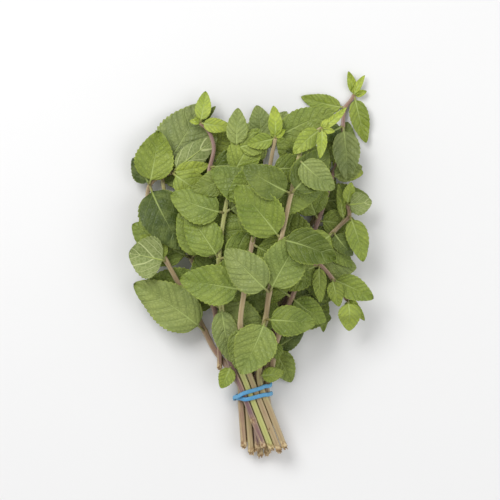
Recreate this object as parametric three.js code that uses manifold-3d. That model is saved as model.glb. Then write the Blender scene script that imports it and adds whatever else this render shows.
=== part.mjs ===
// A tied bunch of cut mint, lying down. Millimetres, +Z up, cut ends towards -Y.
// Stems are laid one by one from the table upwards. Every stem and leaf settles
// clear above what already lies below it, so nothing crosses its neighbours.

import * as THREE from 'three';
import * as BufferGeometryUtils from 'three/addons/utils/BufferGeometryUtils.js';
import Module from 'manifold-3d';

const wasm = await Module();
wasm.setup();

// ---- Driving dimensions -------------------------------------------------

const STEM_RADIUS = 1.52;       // at the cut end
const TIP_RADIUS = 0.95;        // at the growing tip
const STEM_SIDES = 6;
const STEM_STEP = 8;            // length of one tube section
const STEM_TAPER = 1.5;         // above 1 the stem keeps its thickness for longer
const SAMPLE_STEP = 2;          // spacing at which a stem is settled
const SAG_ROUNDS = 20;          // more rounds make a stiffer stem
const HEX_FLAT = Math.cos(Math.PI / STEM_SIDES);

const BAND_Y = -68;             // where the rubber band grips the stems
const BAND_WIDTH = 2.2;
const BAND_THICKNESS = 1.2;
const BAND_GAP = 0.75;          // to the leaning stems inside it
const BAND_BULGE = 0.5;         // how far the band bows away from straight between two stems
const BAND_HOLD = 8;            // from this far above it downwards the band keeps stems in their rows
const BAND_SPREAD = 2.5;        // half the distance between its two turns, at the right
const BAND_SLOPE = 0.25;        // rise of the turns for each step to the right
const BAND_STEPS = 40;          // points of its two turns
const BAND_CROSSING = 2.95;     // angle round the bundle at which one turn crosses the other
const CROSSING_HALF = 1.05;     // half the angle over which they overlap
const CROSSING_EASE = 0.7;      // the angle over which the upper turn comes back down
const BUNDLE_CENTRE = { x: 2, z: 7.6 };

const GAP = 0.25;               // air between leaves and what they touch
const STEM_GAP = 0.3;           // air between stems that touch
const BLADE = 0.65;             // leaf thickness
const PETIOLE_HALF = 0.95;      // half the width of a leaf stalk
const STALK_SHARE = 0.09;       // of a leaf's length
const LEAF_WIDTH = 0.33;        // half width of a blade as a share of its length
const BASE_FULLNESS = 0.72;     // under 1 a blade is broadest nearer its base
const EDGE_FULLNESS = 0.8;      // under 1 its outline is fuller
const NOTCH = 0.16;             // depth of the cuts between teeth, as a share of half width
const TOOTH_TIP = 0.6;          // how far along it a tooth is highest
const LARGE_LEAF = 34;          // leaves from this length on have more teeth
const SMALL_LEAF = 20;          // shorter leaves have no teeth
const WELDS = [0.025, 0.02, 0.015, 0.03, 0.01, 0.001];    // the first that closes a solid is used
const ROOT_REACH = 3.4;         // round its root a leaf may touch its own stem
const BURIED = 0.45;            // share of a stalk that is inside or beside its stem
const MARGIN = 0.5;             // round each point that must be clear
const SPREAD = 0.8;             // distance between the points at which a blade is tested
const EVEN_ROUNDS = 3;          // rounds that even out how a blade is lifted
const ALONG_SHARE = 0.42;       // of the lift of a blade's neighbours, along its rib
const ACROSS_SHARE = 0.55;      // of the lift of its rib, at its edges

// The free shape of a leaf, before it settles. RISE and FOLD are the most for a leaf
// without freedom, and how much a freedom of 1 adds to that.
const BEND = 0.35;              // most turn of a rib to either side, in radians
const RISE = [0.08, 0.26];      // most slope of a rib out of its stem
const SAG = [0.1, 0.36];        // least and most droop of a rib at its tip
const HELD_SAG = 0.4;           // share of the droop that a leaf without freedom has
const LEAST_FOLD = 0.02;        // slope of both halves up from the rib
const FOLD = [0.1, 0.14];
const ROLL = 0.16;              // most slope of the whole blade to either side
const HELD_ROLL = 0.3;          // share of it that a leaf without freedom has

const ROW_PITCH = 3.65;         // height of one row of stems above the next
const PLACE_PITCH = 3.6;        // distance between stems in a row
const FIRST_ROW_Z = STEM_RADIUS + BAND_GAP + BAND_THICKNESS + BAND_BULGE;
const STRAIGHT = [7, -4.5];             // below and above the band a stem is straight this far

// Where each row of stems starts at the band, how it leans there (x per y), and
// how freely its leaves stand up: 0 lies flat.
const ROWS = [
  { startX: -3.4, lean: -0.05, freedom: 0.0 },
  { startX: -5.2, lean: -0.07, freedom: 0.15 },
  { startX: -3.6, lean: -0.39, freedom: 0.18 },
];

// ---- The stems ----------------------------------------------------------
// Each route runs from the band to the growing tip. A point is [x, y] and then
// the leaves that grow there, each [bearing in degrees from +X, length], and a
// third number where a blade is broader or narrower than most.

const STEMS = [
  { name: 'under_left', row: 0, place: 0, tail: 25, route: [
    [-7, -55], [-11, -41],
    [-15, -19, [165, 32]],
    [-18, 5, [130, 36], [20, 30]],
    [-21, 28, [100, 34]],
    [-25, 46, [160, 30]],
    [-28, 57, [36, 26]]] },
  { name: 'under_centre', row: 0, place: 1, tail: 30, route: [
    [1, -55], [3, -40],
    [4, -19, [160, 38], [20, 34]],
    [6, 7, [60, 36], [150, 36]],
    [6, 31, [165, 34]],
    [6, 49, [118, 30]],
    [6, 62, [54, 23, 0.8], [97, 22, 0.97]]] },
  { name: 'under_right', row: 0, place: 2, tail: 33, route: [
    [7, -53], [11, -34],
    [19, -11, [35, 34]],
    [27, 13, [-8, 30]],
    [34, 24, [66, 26, 0.75]],
    [35, 33, [5, 28]],
    [40, 44, [138, 34]],
    [45, 50, [75, 26], [-8, 15, 1.2]]] },
  { name: 'under_corner', row: 0, place: 3, tail: 32, route: [
    [9, -58],
    [12, -46, [32, 19, 0.85], [-62, 20, 1.05]],
    [17, -33],
    [25, -21, [30, 24]],
    [32, -15, [60, 18]],
    [37, -14, [-86, 22, 0.5], [0, 11]]] },
  { name: 'middle_left', row: 1, place: 1, tail: 31, route: [
    [-6, -55],
    [-13, -39],
    [-22, -16, [172, 34]],
    [-31, 3, [150, 36], [35, 34]],
    [-40, 23, [240, 24], [30, 32]],
    [-45, 38], [-46, 46],
    [-45, 50, [140, 16], [60, 40, 1.15]]] },
  { name: 'middle_far_left', row: 1, place: 0, tail: 28, route: [
    [-8, -60], [-13, -53], [-19, -45],
    [-24, -35, [146, 45, 0.85]],
    [-31, -20], [-38, -9],
    [-44, 2, [135, 19], [168, 20, 1.8]],
    [-51, 15], [-54, 29],
    [-53, 41, [122, 17, 1.1], [80, 29, 1.15], [-62, 38, 1.05]],
    [-49, 45],
    [-41, 48, [38, 30, 0.7], [12, 20, 0.7], [-32, 28, 0.9]]] },
  { name: 'middle_right', row: 1, place: 2, tail: 29, route: [
    [5, -56], [10, -42],
    [17, -24, [-10, 26]],
    [26, 0, [-5, 30], [130, 34]],
    [36, 23, [110, 34], [-10, 22]],
    [43, 45, [150, 28], [20, 17]],
    [48, 61],
    [49, 73, [208, 16], [-86, 29, 0.8]],
    [50, 82, [166, 24, 0.65]],
    [53, 86],
    [55, 89, [-76, 26, 0.62], [104, 13, 0.6], [62, 12, 0.5]]] },
  { name: 'middle_far_right', row: 1, place: 3, tail: 27, route: [
    [9, -56], [14, -41],
    [21, -19, [10, 26]],
    [30, 1, [120, 34], [-68, 24]],
    [38, 11, [-40, 20, 0.8]],
    [44, 17, [218, 26], [-50, 16, 0.9]],
    [49, 22, [98, 20, 0.35]],
    [52, 25, [-74, 25, 0.75]],
    [51, 31, [80, 12, 0.9], [8, 13, 1.5]]] },
  { name: 'middle_corner', row: 1, place: 4, tail: 28, route: [
    [11, -57],
    [14, -40, [-88, 10]],
    [16, -34, [140, 30]],
    [22, -17, [-35, 22], [150, 32]],
    [29, -3],
    [35, 0, [200, 28], [-88, 20, 0.6]],
    [40, -4],
    [43, -8, [-26, 24, 0.85], [-76, 15, 0.9]],
    [48, -15],
    [51, -19, [-50, 14, 0.55], [-88, 16, 1.2]]] },
  { name: 'loose_stem', row: 2, place: null, radius: 1.3, route: [
    [-16, -55], [-16, -42],
    [-15, -24, [115, 26], [15, 28]],
    [-10, 2, [10, 28]],
    [-7, 15, [120, 22], [30, 24]],
    [-5, 25, [78, 12]]] },
  { name: 'top_left', row: 2, place: 0, tail: 28, route: [
    [-10, -53, [245, 13, 1.1]],
    [-15, -41],
    [-19, -21, [-35, 34], [100, 30]],
    [-23, 3, [25, 38], [120, 28]],
    [-25, 27, [45, 38], [-40, 34]],
    [-21, 50, [5, 28]],
    [-19, 61], [-22, 70],
    [-26, 74, [48, 12, 0.5], [-6, 17, 0.75], [81, 17, 0.8]]] },
  { name: 'top_centre', row: 2, place: 1, tail: 29, route: [
    [-6, -53], [-11, -40],
    [-15, -21, [60, 36], [-80, 30, 0.7]],
    [-16, 3, [125, 30], [20, 34]],
    [-13, 27, [25, 36], [160, 30]],
    [-9, 47, [60, 28], [200, 22]],
    [-7, 60, [10, 20], [88, 21, 0.85]]] },
  { name: 'top_right', row: 2, place: 2, tail: 30, route: [
    [-2, -53],
    [-5, -32, [-95, 23, 0.85]],
    [-3, -14, [170, 34]],
    [1, 10, [70, 38], [-30, 34]],
    [6, 34, [10, 32], [150, 30]],
    [10, 49, [215, 26], [5, 24]],
    [12, 60],
    [13, 65, [25, 34, 0.75], [192, 15, 0.9], [93, 17, 0.7]]] },
  { name: 'top_far_right', row: 2, place: 3, tail: 28, route: [
    [5, -58, [8, 13]],
    [5, -52], [6, -37],
    [8, -29, [245, 31, 1.15], [-5, 26]],
    [10, -14, [60, 36], [135, 32]],
    [16, 13, [130, 36], [-20, 30]],
    [21, 36, [150, 28], [52, 30]],
    [25, 54, [-40, 24]],
    [28, 65], [33, 68],
    [37, 70, [222, 20, 0.8], [-95, 16, 0.55], [41, 17, 0.42]]] },
];

const FINISHES = {
  leafy: { color: 0x6f8f3c, roughness: 0.62, metalness: 0 },
  rubber: { color: 0x5b9bd0, roughness: 0.55, metalness: 0 },
};

// ---- Seeded draws -------------------------------------------------------

let drawState = 20311;

/** A repeatable draw between low and high. */
function draw(low, high) {
  drawState = (Math.imul(drawState, 1664525) + 1013904223) >>> 0;
  return low + (high - low) * (drawState / 4294967296);
}

// ---- Height maps: how high what already lies there reaches ----------------

const MAP = { minX: -95, minY: -125, columns: 190, rows: 245 };   // one cell is 1 mm square

function newMap() {
  return new Float64Array(MAP.columns * MAP.rows);
}

/** Raises every cell within reach of a point to height z. */
function raise(map, x, y, z, reach) {
  const firstRow = Math.floor(y - reach - MAP.minY);
  const lastRow = Math.floor(y + reach - MAP.minY);
  const firstColumn = Math.floor(x - reach - MAP.minX);
  const lastColumn = Math.floor(x + reach - MAP.minX);
  for (let row = firstRow; row <= lastRow; row += 1) {
    for (let column = firstColumn; column <= lastColumn; column += 1) {
      const cell = row * MAP.columns + column;
      map[cell] = Math.max(map[cell], z);
    }
  }
}

/** The highest cell within reach of a point. */
function peak(map, x, y, reach) {
  const firstRow = Math.floor(y - reach - MAP.minY);
  const lastRow = Math.floor(y + reach - MAP.minY);
  const firstColumn = Math.floor(x - reach - MAP.minX);
  const lastColumn = Math.floor(x + reach - MAP.minX);
  let highest = 0;
  for (let row = firstRow; row <= lastRow; row += 1) {
    for (let column = firstColumn; column <= lastColumn; column += 1) {
      highest = Math.max(highest, map[row * MAP.columns + column]);
    }
  }
  return highest;
}

const bladeMap = newMap();      // tops of the blades laid so far
const laidTubes = [];           // their settled samples, for stem on stem

// ---- Settling a stem ----------------------------------------------------

/** The whole route in plan: the straight part through the band, then the hand-laid points. */
function planRoute(stem) {
  const points = stem.route.map(([x, y]) => new THREE.Vector3(x, y, 0));
  if (stem.place === null) return points;
  const row = ROWS[stem.row];
  const gripX = row.startX + PLACE_PITCH * stem.place;
  const below = [stem.tail, ...STRAIGHT].map((drop) => (
    new THREE.Vector3(gripX - row.lean * drop, BAND_Y - drop, 0)));
  return [...below, ...points];
}

/** Height that clears every stem already laid under or beside this point. */
function clearOfTubes(x, y, radius) {
  let lowest = 0;
  for (const other of laidTubes) {
    const reach = other.radius + radius + STEM_GAP;
    const apart = Math.hypot(other.x - x, other.y - y);
    if (apart < reach) lowest = Math.max(lowest, other.z + Math.sqrt(reach * reach - apart * apart));
  }
  return lowest;
}

/** Samples along a stem, settled on the table and on what lies there. */
function settleStem(stem) {
  const curve = new THREE.CatmullRomCurve3(planRoute(stem), false, 'centripetal');
  const count = Math.round(curve.getLength() / SAMPLE_STEP);
  const rootRadius = stem.radius ?? STEM_RADIUS;
  const bound = stem.place !== null;
  const gripZ = FIRST_ROW_Z + ROW_PITCH * stem.row;
  const samples = curve.getSpacedPoints(count).map((point, index) => {
    const radius = THREE.MathUtils.lerp(rootRadius, TIP_RADIUS, (index / count) ** STEM_TAPER);
    const gripped = bound && point.y < BAND_Y + BAND_HOLD;
    const onBlades = peak(bladeMap, point.x, point.y, radius + MARGIN);
    const lowest = Math.max(
      radius * HEX_FLAT,
      onBlades > 0 ? onBlades + GAP + radius : 0,
      clearOfTubes(point.x, point.y, radius),
      gripped ? gripZ : 0,
    );
    return { x: point.x, y: point.y, radius, lowest, z: lowest, gripped };
  });
  for (let round = 0; round < SAG_ROUNDS; round += 1) {
    samples.forEach((sample, index) => {
      const before = samples[index - 1] ?? sample;
      const after = samples[index + 1] ?? sample;
      if (!sample.gripped) sample.z = Math.max(sample.lowest, (before.z + after.z) / 2);
    });
  }
  return samples;
}

/** A settled stem's curve. Its sections stay level and taper towards the tip. */
class StemCurve extends THREE.CatmullRomCurve3 {
  constructor(samples) {
    super(samples.map(({ x, y, z }) => new THREE.Vector3(x, y, z)), false, 'centripetal');
    this.samples = samples;
  }

  computeFrenetFrames(segments) {
    const up = new THREE.Vector3(0, 0, 1);
    const frames = { tangents: [], normals: [], binormals: [] };
    for (let step = 0; step <= segments; step += 1) {
      const share = step / segments;
      const tangent = this.getTangentAt(share);
      const side = new THREE.Vector3().crossVectors(tangent, up).normalize();
      const radius = this.samples[Math.round(share * (this.samples.length - 1))].radius;
      frames.tangents.push(tangent);
      frames.normals.push(side.clone().multiplyScalar(radius));
      frames.binormals.push(new THREE.Vector3().crossVectors(tangent, side).multiplyScalar(radius));
    }
    return frames;
  }
}

function polygon(sides, radius) {
  const corners = [];
  for (let corner = 0; corner < sides; corner += 1) {
    const angle = (2 * Math.PI * corner) / sides;
    corners.push(new THREE.Vector2(radius * Math.cos(angle), radius * Math.sin(angle)));
  }
  return new THREE.Shape(corners);
}

function stemGeometry(samples) {
  const extrudePath = new StemCurve(samples);
  const steps = Math.round(extrudePath.getLength() / STEM_STEP);
  return new THREE.ExtrudeGeometry(polygon(STEM_SIDES, 1), { steps, extrudePath });
}

// ---- A leaf -------------------------------------------------------------
// A leaf is a net of stations along its rib, three points at each: left edge,
// rib, right edge. Station 0 is its root in the stem, station 1 the blade's base.

const STATIONS = [0, 0.13, 0.42, 0.72, 1];
const LAST = STATIONS.length - 1;

/** Half the width at a share of the leaf's length: a stalk, then an egg-shaped blade. */
function halfWidth(leaf, share) {
  const along = Math.max(0, (share - STALK_SHARE) / (1 - STALK_SHARE));
  const swell = Math.sin(Math.PI * along ** BASE_FULLNESS) ** EDGE_FULLNESS;
  const blade = LEAF_WIDTH * leaf.breadth * leaf.length * swell;
  return share > 0.5 ? blade : Math.max(PETIOLE_HALF, blade);
}

/** Place in plan. Across runs from -1, the left edge, to 1, the right edge. */
function leafPlan(leaf, share, across) {
  const heading = leaf.heading + leaf.bend * share;
  const halfway = leaf.heading + (leaf.bend * share) / 2;
  const reach = leaf.length * share;
  const offset = across * halfWidth(leaf, share);
  return {
    x: leaf.x + reach * Math.cos(halfway) + offset * Math.sin(heading),
    y: leaf.y + reach * Math.sin(halfway) - offset * Math.cos(heading),
  };
}

/** The free shape of a leaf, before it settles: heights of its net. */
function freeHeights(leaf) {
  return STATIONS.map((share) => [-1, 0, 1].map((across) => {
    const sideways = across * halfWidth(leaf, share);
    const rib = leaf.length * (leaf.rise * share - leaf.sag * share * share);
    const opened = share > STATIONS[0] ? leaf.fold * Math.abs(sideways) + leaf.roll * sideways : 0;
    return leaf.z + rib + opened;
  }));
}

/** One side of the outline between two stations: teeth, with a notch between and after them. */
function outlinePoints(leaf, station) {
  const points = [];
  const start = STATIONS[station];
  const span = STATIONS[station + 1] - start;
  const teeth = leaf.length >= LARGE_LEAF && station < LAST - 1 ? 2 : 1;
  const toothed = station > 0 && leaf.length >= SMALL_LEAF;
  for (let tooth = 0; tooth < teeth && toothed; tooth += 1) {
    points.push({ share: start + (span * (tooth + TOOTH_TIP)) / teeth, across: 1 });
    if (tooth < teeth - 1) points.push({ share: start + (span * (tooth + 1)) / teeth, across: 1 - NOTCH });
  }
  if (station < LAST - 1) {
    points.push({ share: STATIONS[station + 1], across: toothed ? 1 - NOTCH : 1 });
  }
  return points;
}

/** The blade's middle surface: its vertices, its faces and its outline as a loop. */
function bladePattern(leaf) {
  const vertices = [];
  const faces = [];
  const sides = [];
  const add = (station, share, across) => vertices.push({ station, share, across }) - 1;
  const rib = STATIONS.map((share, station) => add(Math.min(station, LAST - 1), share, 0));
  for (const side of [-1, 1]) {
    const outline = [add(0, 0, side)];
    for (let station = 0; station < LAST; station += 1) {
      const strip = [outline[outline.length - 1]];
      for (const { share, across } of outlinePoints(leaf, station)) {
        strip.push(add(station, share, side * across));
      }
      outline.push(...strip.slice(1));
      const turn = Math.floor(strip.length / 2);
      const face = (...corners) => {
        faces.push({ station, side, corners: side < 0 ? corners : corners.reverse() });
      };
      for (let index = 0; index < strip.length - 1; index += 1) {
        if (index === turn) face(rib[station], rib[station + 1], strip[index]);
        face(index < turn ? rib[station] : rib[station + 1], strip[index + 1], strip[index]);
      }
      if (turn >= strip.length - 1) face(rib[station], rib[station + 1], strip[strip.length - 1]);
    }
    sides.push(outline);
  }
  const loop = [...sides[1], rib[LAST], ...sides[0].reverse(), rib[0]];
  return { vertices, faces, loop };
}

/** Height of a point of the blade, from the net that carries it. */
function netHeight(net, { station, share, across }) {
  const start = STATIONS[station];
  const along = (share - start) / (STATIONS[station + 1] - start);
  const column = across < 0 ? 0 : 2;
  const rib = THREE.MathUtils.lerp(net[station][1], net[station + 1][1], along);
  const edge = THREE.MathUtils.lerp(net[station][column], net[station + 1][column], along);
  return THREE.MathUtils.lerp(rib, edge, Math.abs(across));
}

/** The blade's vertices in space. */
function bladePoints(leaf, pattern, net) {
  return pattern.vertices.map((vertex) => {
    const { x, y } = leafPlan(leaf, vertex.share, vertex.across);
    return new THREE.Vector3(x, y, netHeight(net, vertex));
  });
}

/** Points spread over a face, under a millimetre apart. */
function spread([a, b, c]) {
  const longest = Math.max(a.distanceTo(b), b.distanceTo(c), c.distanceTo(a));
  const count = Math.ceil(longest / SPREAD);
  const points = [];
  for (let i = 0; i <= count; i += 1) {
    for (let j = 0; j <= count - i; j += 1) {
      points.push(a.clone().multiplyScalar(1 - (i + j) / count)
        .addScaledVector(b, i / count).addScaledVector(c, j / count));
    }
  }
  return points;
}

/** Height that a leaf's middle surface needs over one point. */
function clearOfAll(leaf, point, { own, others }) {
  const nearRoot = Math.hypot(point.x - leaf.x, point.y - leaf.y) < ROOT_REACH;
  const below = Math.max(
    peak(bladeMap, point.x, point.y, MARGIN),
    peak(others, point.x, point.y, MARGIN),
    nearRoot ? 0 : peak(own, point.x, point.y, MARGIN),
  );
  return BLADE / 2 + (below > 0 ? below + GAP : 0);
}

/** Lifts a leaf's net until its blade is clear of everything below, and keeps the bend soft. */
function settleLeaf(leaf, pattern, maps) {
  const net = freeHeights(leaf);
  const points = bladePoints(leaf, pattern, net);
  const needed = STATIONS.map(() => [0, 0, 0]);
  for (const { station, side, corners } of pattern.faces) {
    for (const point of spread(corners.map((corner) => points[corner]))) {
      const outOfStem = Math.hypot(point.x - leaf.x, point.y - leaf.y) / (STATIONS[1] * leaf.length);
      if (station === 0 && outOfStem < BURIED) continue;
      const lift = clearOfAll(leaf, point, maps) - point.z;
      const stalkLift = station === 0 ? lift / Math.min(1, outOfStem) : lift;
      const column = side < 0 ? 0 : 2;
      for (const row of [needed[station], needed[station + 1]]) {
        row[1] = Math.max(row[1], stalkLift);
        row[column] = Math.max(row[column], stalkLift);
      }
    }
  }
  needed[0] = [0, 0, 0];
  needed[1].fill(Math.max(...needed[1]));
  needed[LAST].fill(Math.max(...needed[LAST]));
  const lifts = needed.map((row) => [...row]);
  for (let round = 0; round < EVEN_ROUNDS; round += 1) {
    for (let row = 1; row <= LAST; row += 1) {
      for (let cell = 0; cell < 3; cell += 1) {
        const along = (lifts[row - 1][cell] + (lifts[row + 1]?.[cell] ?? 0)) * ALONG_SHARE;
        lifts[row][cell] = Math.max(needed[row][cell], along, lifts[row][1] * ACROSS_SHARE);
      }
    }
    lifts[LAST].fill(Math.max(...lifts[LAST]));
  }
  return net.map((row, station) => row.map((height, cell) => height + lifts[station][cell]));
}

/** A closed leaf: the middle surface, half the thickness up and half down, and its rim. */
function bladeGeometry(points, pattern) {
  const positions = [];
  const half = new THREE.Vector3(0, 0, BLADE / 2);
  const top = points.map((point) => point.clone().add(half));
  const bottom = points.map((point) => point.clone().sub(half));
  const put = (...corners) => corners.forEach((corner) => positions.push(...corner));
  for (const { corners: [a, b, c] } of pattern.faces) {
    put(top[a], top[b], top[c]);
    put(bottom[c], bottom[b], bottom[a]);
  }
  pattern.loop.forEach((a, index) => {
    const b = pattern.loop[(index + 1) % pattern.loop.length];
    put(bottom[a], bottom[b], top[b]);
    put(bottom[a], top[b], top[a]);
  });
  const geometry = new THREE.BufferGeometry();
  geometry.setAttribute('position', new THREE.Float32BufferAttribute(positions, 3));
  return geometry;
}

// ---- Solids ---------------------------------------------------------------

function solidOf(geometry) {
  const bare = geometry.clone();
  bare.deleteAttribute('normal');
  bare.deleteAttribute('uv');
  const merged = BufferGeometryUtils.mergeVertices(bare, 1e-4);
  return new wasm.Manifold(new wasm.Mesh({
    numProp: 3,
    vertProperties: new Float32Array(merged.attributes.position.array),
    triVerts: new Uint32Array(merged.index.array),
  }));
}

/** A copy in which corners closer than a distance are one, and the slivers between them are gone. */
function welded(geometry, distance) {
  const merged = BufferGeometryUtils.mergeVertices(geometry, distance);
  const faces = new Map();
  for (let face = 0; face < merged.index.count; face += 3) {
    const corners = merged.index.array.slice(face, face + 3);
    const key = [...corners].sort((a, b) => a - b).join(' ');
    if (new Set(corners).size < 3) continue;
    if (!faces.delete(key)) faces.set(key, corners);      // two faces back to back enclose nothing
  }
  merged.setIndex([...faces.values()].flatMap((corners) => [...corners]));
  return merged;
}

/** True where every edge has exactly two faces. */
function isClosed(geometry) {
  const uses = new Map();
  const corners = geometry.index.array;
  for (let corner = 0; corner < corners.length; corner += 1) {
    const next = corner % 3 === 2 ? corner - 2 : corner + 1;
    const ends = [corners[corner], corners[next]].sort((a, b) => a - b).join(' ');
    uses.set(ends, (uses.get(ends) ?? 0) + 1);
  }
  return [...uses.values()].every((count) => count === 2);
}

function meshOf(name, solid, finish) {
  const { vertProperties, triVerts } = solid.getMesh();
  const joined = new THREE.BufferGeometry();
  joined.setAttribute('position', new THREE.BufferAttribute(new Float32Array(vertProperties), 3));
  joined.setIndex(new THREE.BufferAttribute(new Uint32Array(triVerts), 1));
  const geometry = WELDS.map((distance) => welded(joined, distance)).find(isClosed);
  const mesh = new THREE.Mesh(geometry, new THREE.MeshStandardMaterial(finish));
  mesh.name = name;
  return mesh;
}

/** The tops of some stems. */
function stemTops(laid) {
  const map = newMap();
  for (const { x, y, z, radius } of laid) raise(map, x, y, z + radius, radius);
  return map;
}

/** One leafy stem: a settled stem with its leaves grown onto it in one solid. */
function leafyStem(stem) {
  const samples = settleStem(stem);
  const { freedom } = ROWS[stem.row];
  const maps = { own: stemTops(samples), others: stemTops(laidTubes) };
  const ownBlades = [];
  let solid = solidOf(stemGeometry(samples));
  for (const [nodeX, nodeY, ...leaves] of stem.route) {
    for (const [bearing, length, breadth = 1] of leaves) {
      const root = samples.reduce((nearest, sample) => (
        Math.hypot(sample.x - nodeX, sample.y - nodeY)
          < Math.hypot(nearest.x - nodeX, nearest.y - nodeY) ? sample : nearest));
      const leaf = {
        x: root.x,
        y: root.y,
        z: root.z,
        length,
        breadth,
        bend: draw(-BEND, BEND),
        rise: draw(0, RISE[0] + RISE[1] * freedom),
        sag: draw(...SAG) * (HELD_SAG + freedom),
        fold: draw(LEAST_FOLD, FOLD[0] + FOLD[1] * freedom),
        roll: draw(-ROLL, ROLL) * (HELD_ROLL + freedom),
      };
      leaf.heading = THREE.MathUtils.degToRad(bearing) - leaf.bend / 2;
      const pattern = bladePattern(leaf);
      const net = settleLeaf(leaf, pattern, maps);
      const points = bladePoints(leaf, pattern, net);
      for (const { corners } of pattern.faces) {
        for (const point of spread(corners.map((corner) => points[corner]))) {
          raise(maps.own, point.x, point.y, point.z + BLADE / 2, 0);
          ownBlades.push(point);
        }
      }
      solid = solid.add(solidOf(bladeGeometry(points, pattern)));
    }
  }
  for (const { x, y, z } of ownBlades) raise(bladeMap, x, y, z + BLADE / 2, 0);
  laidTubes.push(...samples);
  return meshOf(stem.name, solid, FINISHES.leafy);
}

// ---- The rubber band ------------------------------------------------------

/** The point of the taut band at an angle round the stems, at a given Y and lift off them. */
function bandPoint(angle, y, over) {
  const outward = { x: Math.cos(angle), z: Math.sin(angle) };
  const offset = BAND_GAP + BAND_THICKNESS / 2 + over;
  let furthest = -Infinity;
  let point = null;
  for (const stem of STEMS.filter(({ place }) => place !== null)) {
    const row = ROWS[stem.row];
    const x = row.startX + PLACE_PITCH * stem.place + row.lean * (y - BAND_Y);
    const z = FIRST_ROW_Z + ROW_PITCH * stem.row;
    const reach = x * outward.x + z * outward.z;
    if (reach > furthest + 1e-9) {
      furthest = reach;
      const out = STEM_RADIUS + offset;
      point = new THREE.Vector3(x + out * outward.x, y, z + out * outward.z);
    }
  }
  return point;
}

/** How far one turn rides up over the other where they cross: 1 at the crossing, 0 away from it. */
function crossingLift(angle) {
  const away = Math.abs(angle - BAND_CROSSING);
  return 1 - THREE.MathUtils.smoothstep(away, CROSSING_HALF, CROSSING_HALF + CROSSING_EASE);
}

/** The rubber band's middle line: one loop that goes round the stems twice. */
class BandCurve extends THREE.CatmullRomCurve3 {
  constructor() {
    const points = [];
    for (let step = 0; step < BAND_STEPS; step += 1) {
      const angle = (4 * Math.PI * step) / BAND_STEPS;
      const level = bandPoint(angle, BAND_Y, 0);
      const rise = BAND_SLOPE * (level.x - BUNDLE_CENTRE.x);
      const apart = -BAND_SPREAD * Math.sin((angle - BAND_CROSSING) / 2);
      const over = (BAND_THICKNESS + GAP) * crossingLift(angle);
      points.push(bandPoint(angle, BAND_Y + rise + apart, over));
    }
    super(points, true);
  }

  computeFrenetFrames(segments) {
    const frames = { tangents: [], normals: [], binormals: [] };
    for (let step = 0; step <= segments; step += 1) {
      const share = (step % segments) / segments;
      const tangent = this.getTangentAt(share);
      const point = this.getPointAt(share);
      const out = new THREE.Vector3(point.x - BUNDLE_CENTRE.x, 0, point.z - BUNDLE_CENTRE.z);
      out.addScaledVector(tangent, -out.dot(tangent)).normalize();
      frames.tangents.push(tangent);
      frames.normals.push(out);
      frames.binormals.push(new THREE.Vector3().crossVectors(tangent, out));
    }
    return frames;
  }
}

function rubberBand() {
  const thick = BAND_THICKNESS / 2;
  const wide = BAND_WIDTH / 2;
  const section = new THREE.Shape([
    new THREE.Vector2(-thick, -wide),
    new THREE.Vector2(thick, -wide),
    new THREE.Vector2(thick, wide),
    new THREE.Vector2(-thick, wide),
  ]);
  const geometry = new THREE.ExtrudeGeometry(section, { steps: BAND_STEPS, extrudePath: new BandCurve() });
  const sides = geometry.groups[1];     // the loop closes on itself, so it has no end faces
  const loop = new THREE.BufferGeometry();
  const positions = geometry.attributes.position.array;
  loop.setAttribute('position', new THREE.Float32BufferAttribute(
    positions.slice(3 * sides.start, 3 * (sides.start + sides.count)), 3));
  return meshOf('rubber_band', solidOf(loop), FINISHES.rubber);
}

// ---- The bunch --------------------------------------------------------------

const bunch = new THREE.Group();
for (const stem of STEMS) bunch.add(leafyStem(stem));
bunch.add(rubberBand());

// The origin is the middle of the bunch's box, on the surface it lies on.
const box = new THREE.Box3().setFromObject(bunch, true);
const middle = box.getCenter(new THREE.Vector3());
bunch.position.set(-middle.x, -middle.y, -box.min.z);

const group = new THREE.Group();
group.add(bunch);

export default group;
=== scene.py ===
# A tied bunch of cut mint, lying on a pale floor and seen from straight above.
# The stems are laid one by one from the floor upwards, as in the CAD part, and
# every leaf settles on what already lies below it. Layout lengths are millimetres.

import random
from itertools import accumulate
from math import atan2, ceil, cos, degrees, dist, exp, floor, hypot, inf, pi, radians, sin, sqrt

import bmesh
import bpy
from mathutils import Matrix, Vector


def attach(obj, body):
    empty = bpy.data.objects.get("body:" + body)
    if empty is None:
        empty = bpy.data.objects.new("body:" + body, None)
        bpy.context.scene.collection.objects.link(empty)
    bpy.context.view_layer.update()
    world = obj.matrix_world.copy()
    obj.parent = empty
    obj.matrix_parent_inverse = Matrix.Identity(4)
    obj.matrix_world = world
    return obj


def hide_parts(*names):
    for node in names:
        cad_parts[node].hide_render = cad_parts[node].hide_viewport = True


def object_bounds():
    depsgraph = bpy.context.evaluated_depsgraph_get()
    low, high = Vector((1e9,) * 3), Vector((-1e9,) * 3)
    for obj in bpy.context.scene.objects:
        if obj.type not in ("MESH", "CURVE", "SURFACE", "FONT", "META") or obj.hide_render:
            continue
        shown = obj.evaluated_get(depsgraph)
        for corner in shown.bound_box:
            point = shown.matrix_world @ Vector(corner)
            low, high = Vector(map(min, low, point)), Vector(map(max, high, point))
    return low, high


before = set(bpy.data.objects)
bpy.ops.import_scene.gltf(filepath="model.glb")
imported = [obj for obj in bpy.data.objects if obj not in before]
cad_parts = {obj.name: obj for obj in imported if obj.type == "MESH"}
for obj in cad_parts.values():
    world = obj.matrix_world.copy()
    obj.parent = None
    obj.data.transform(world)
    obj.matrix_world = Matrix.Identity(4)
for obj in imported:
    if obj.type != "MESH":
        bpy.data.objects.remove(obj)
cad_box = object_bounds()

MM = 0.001

# ---- Driving dimensions of the layout, as in the CAD part ----

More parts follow.
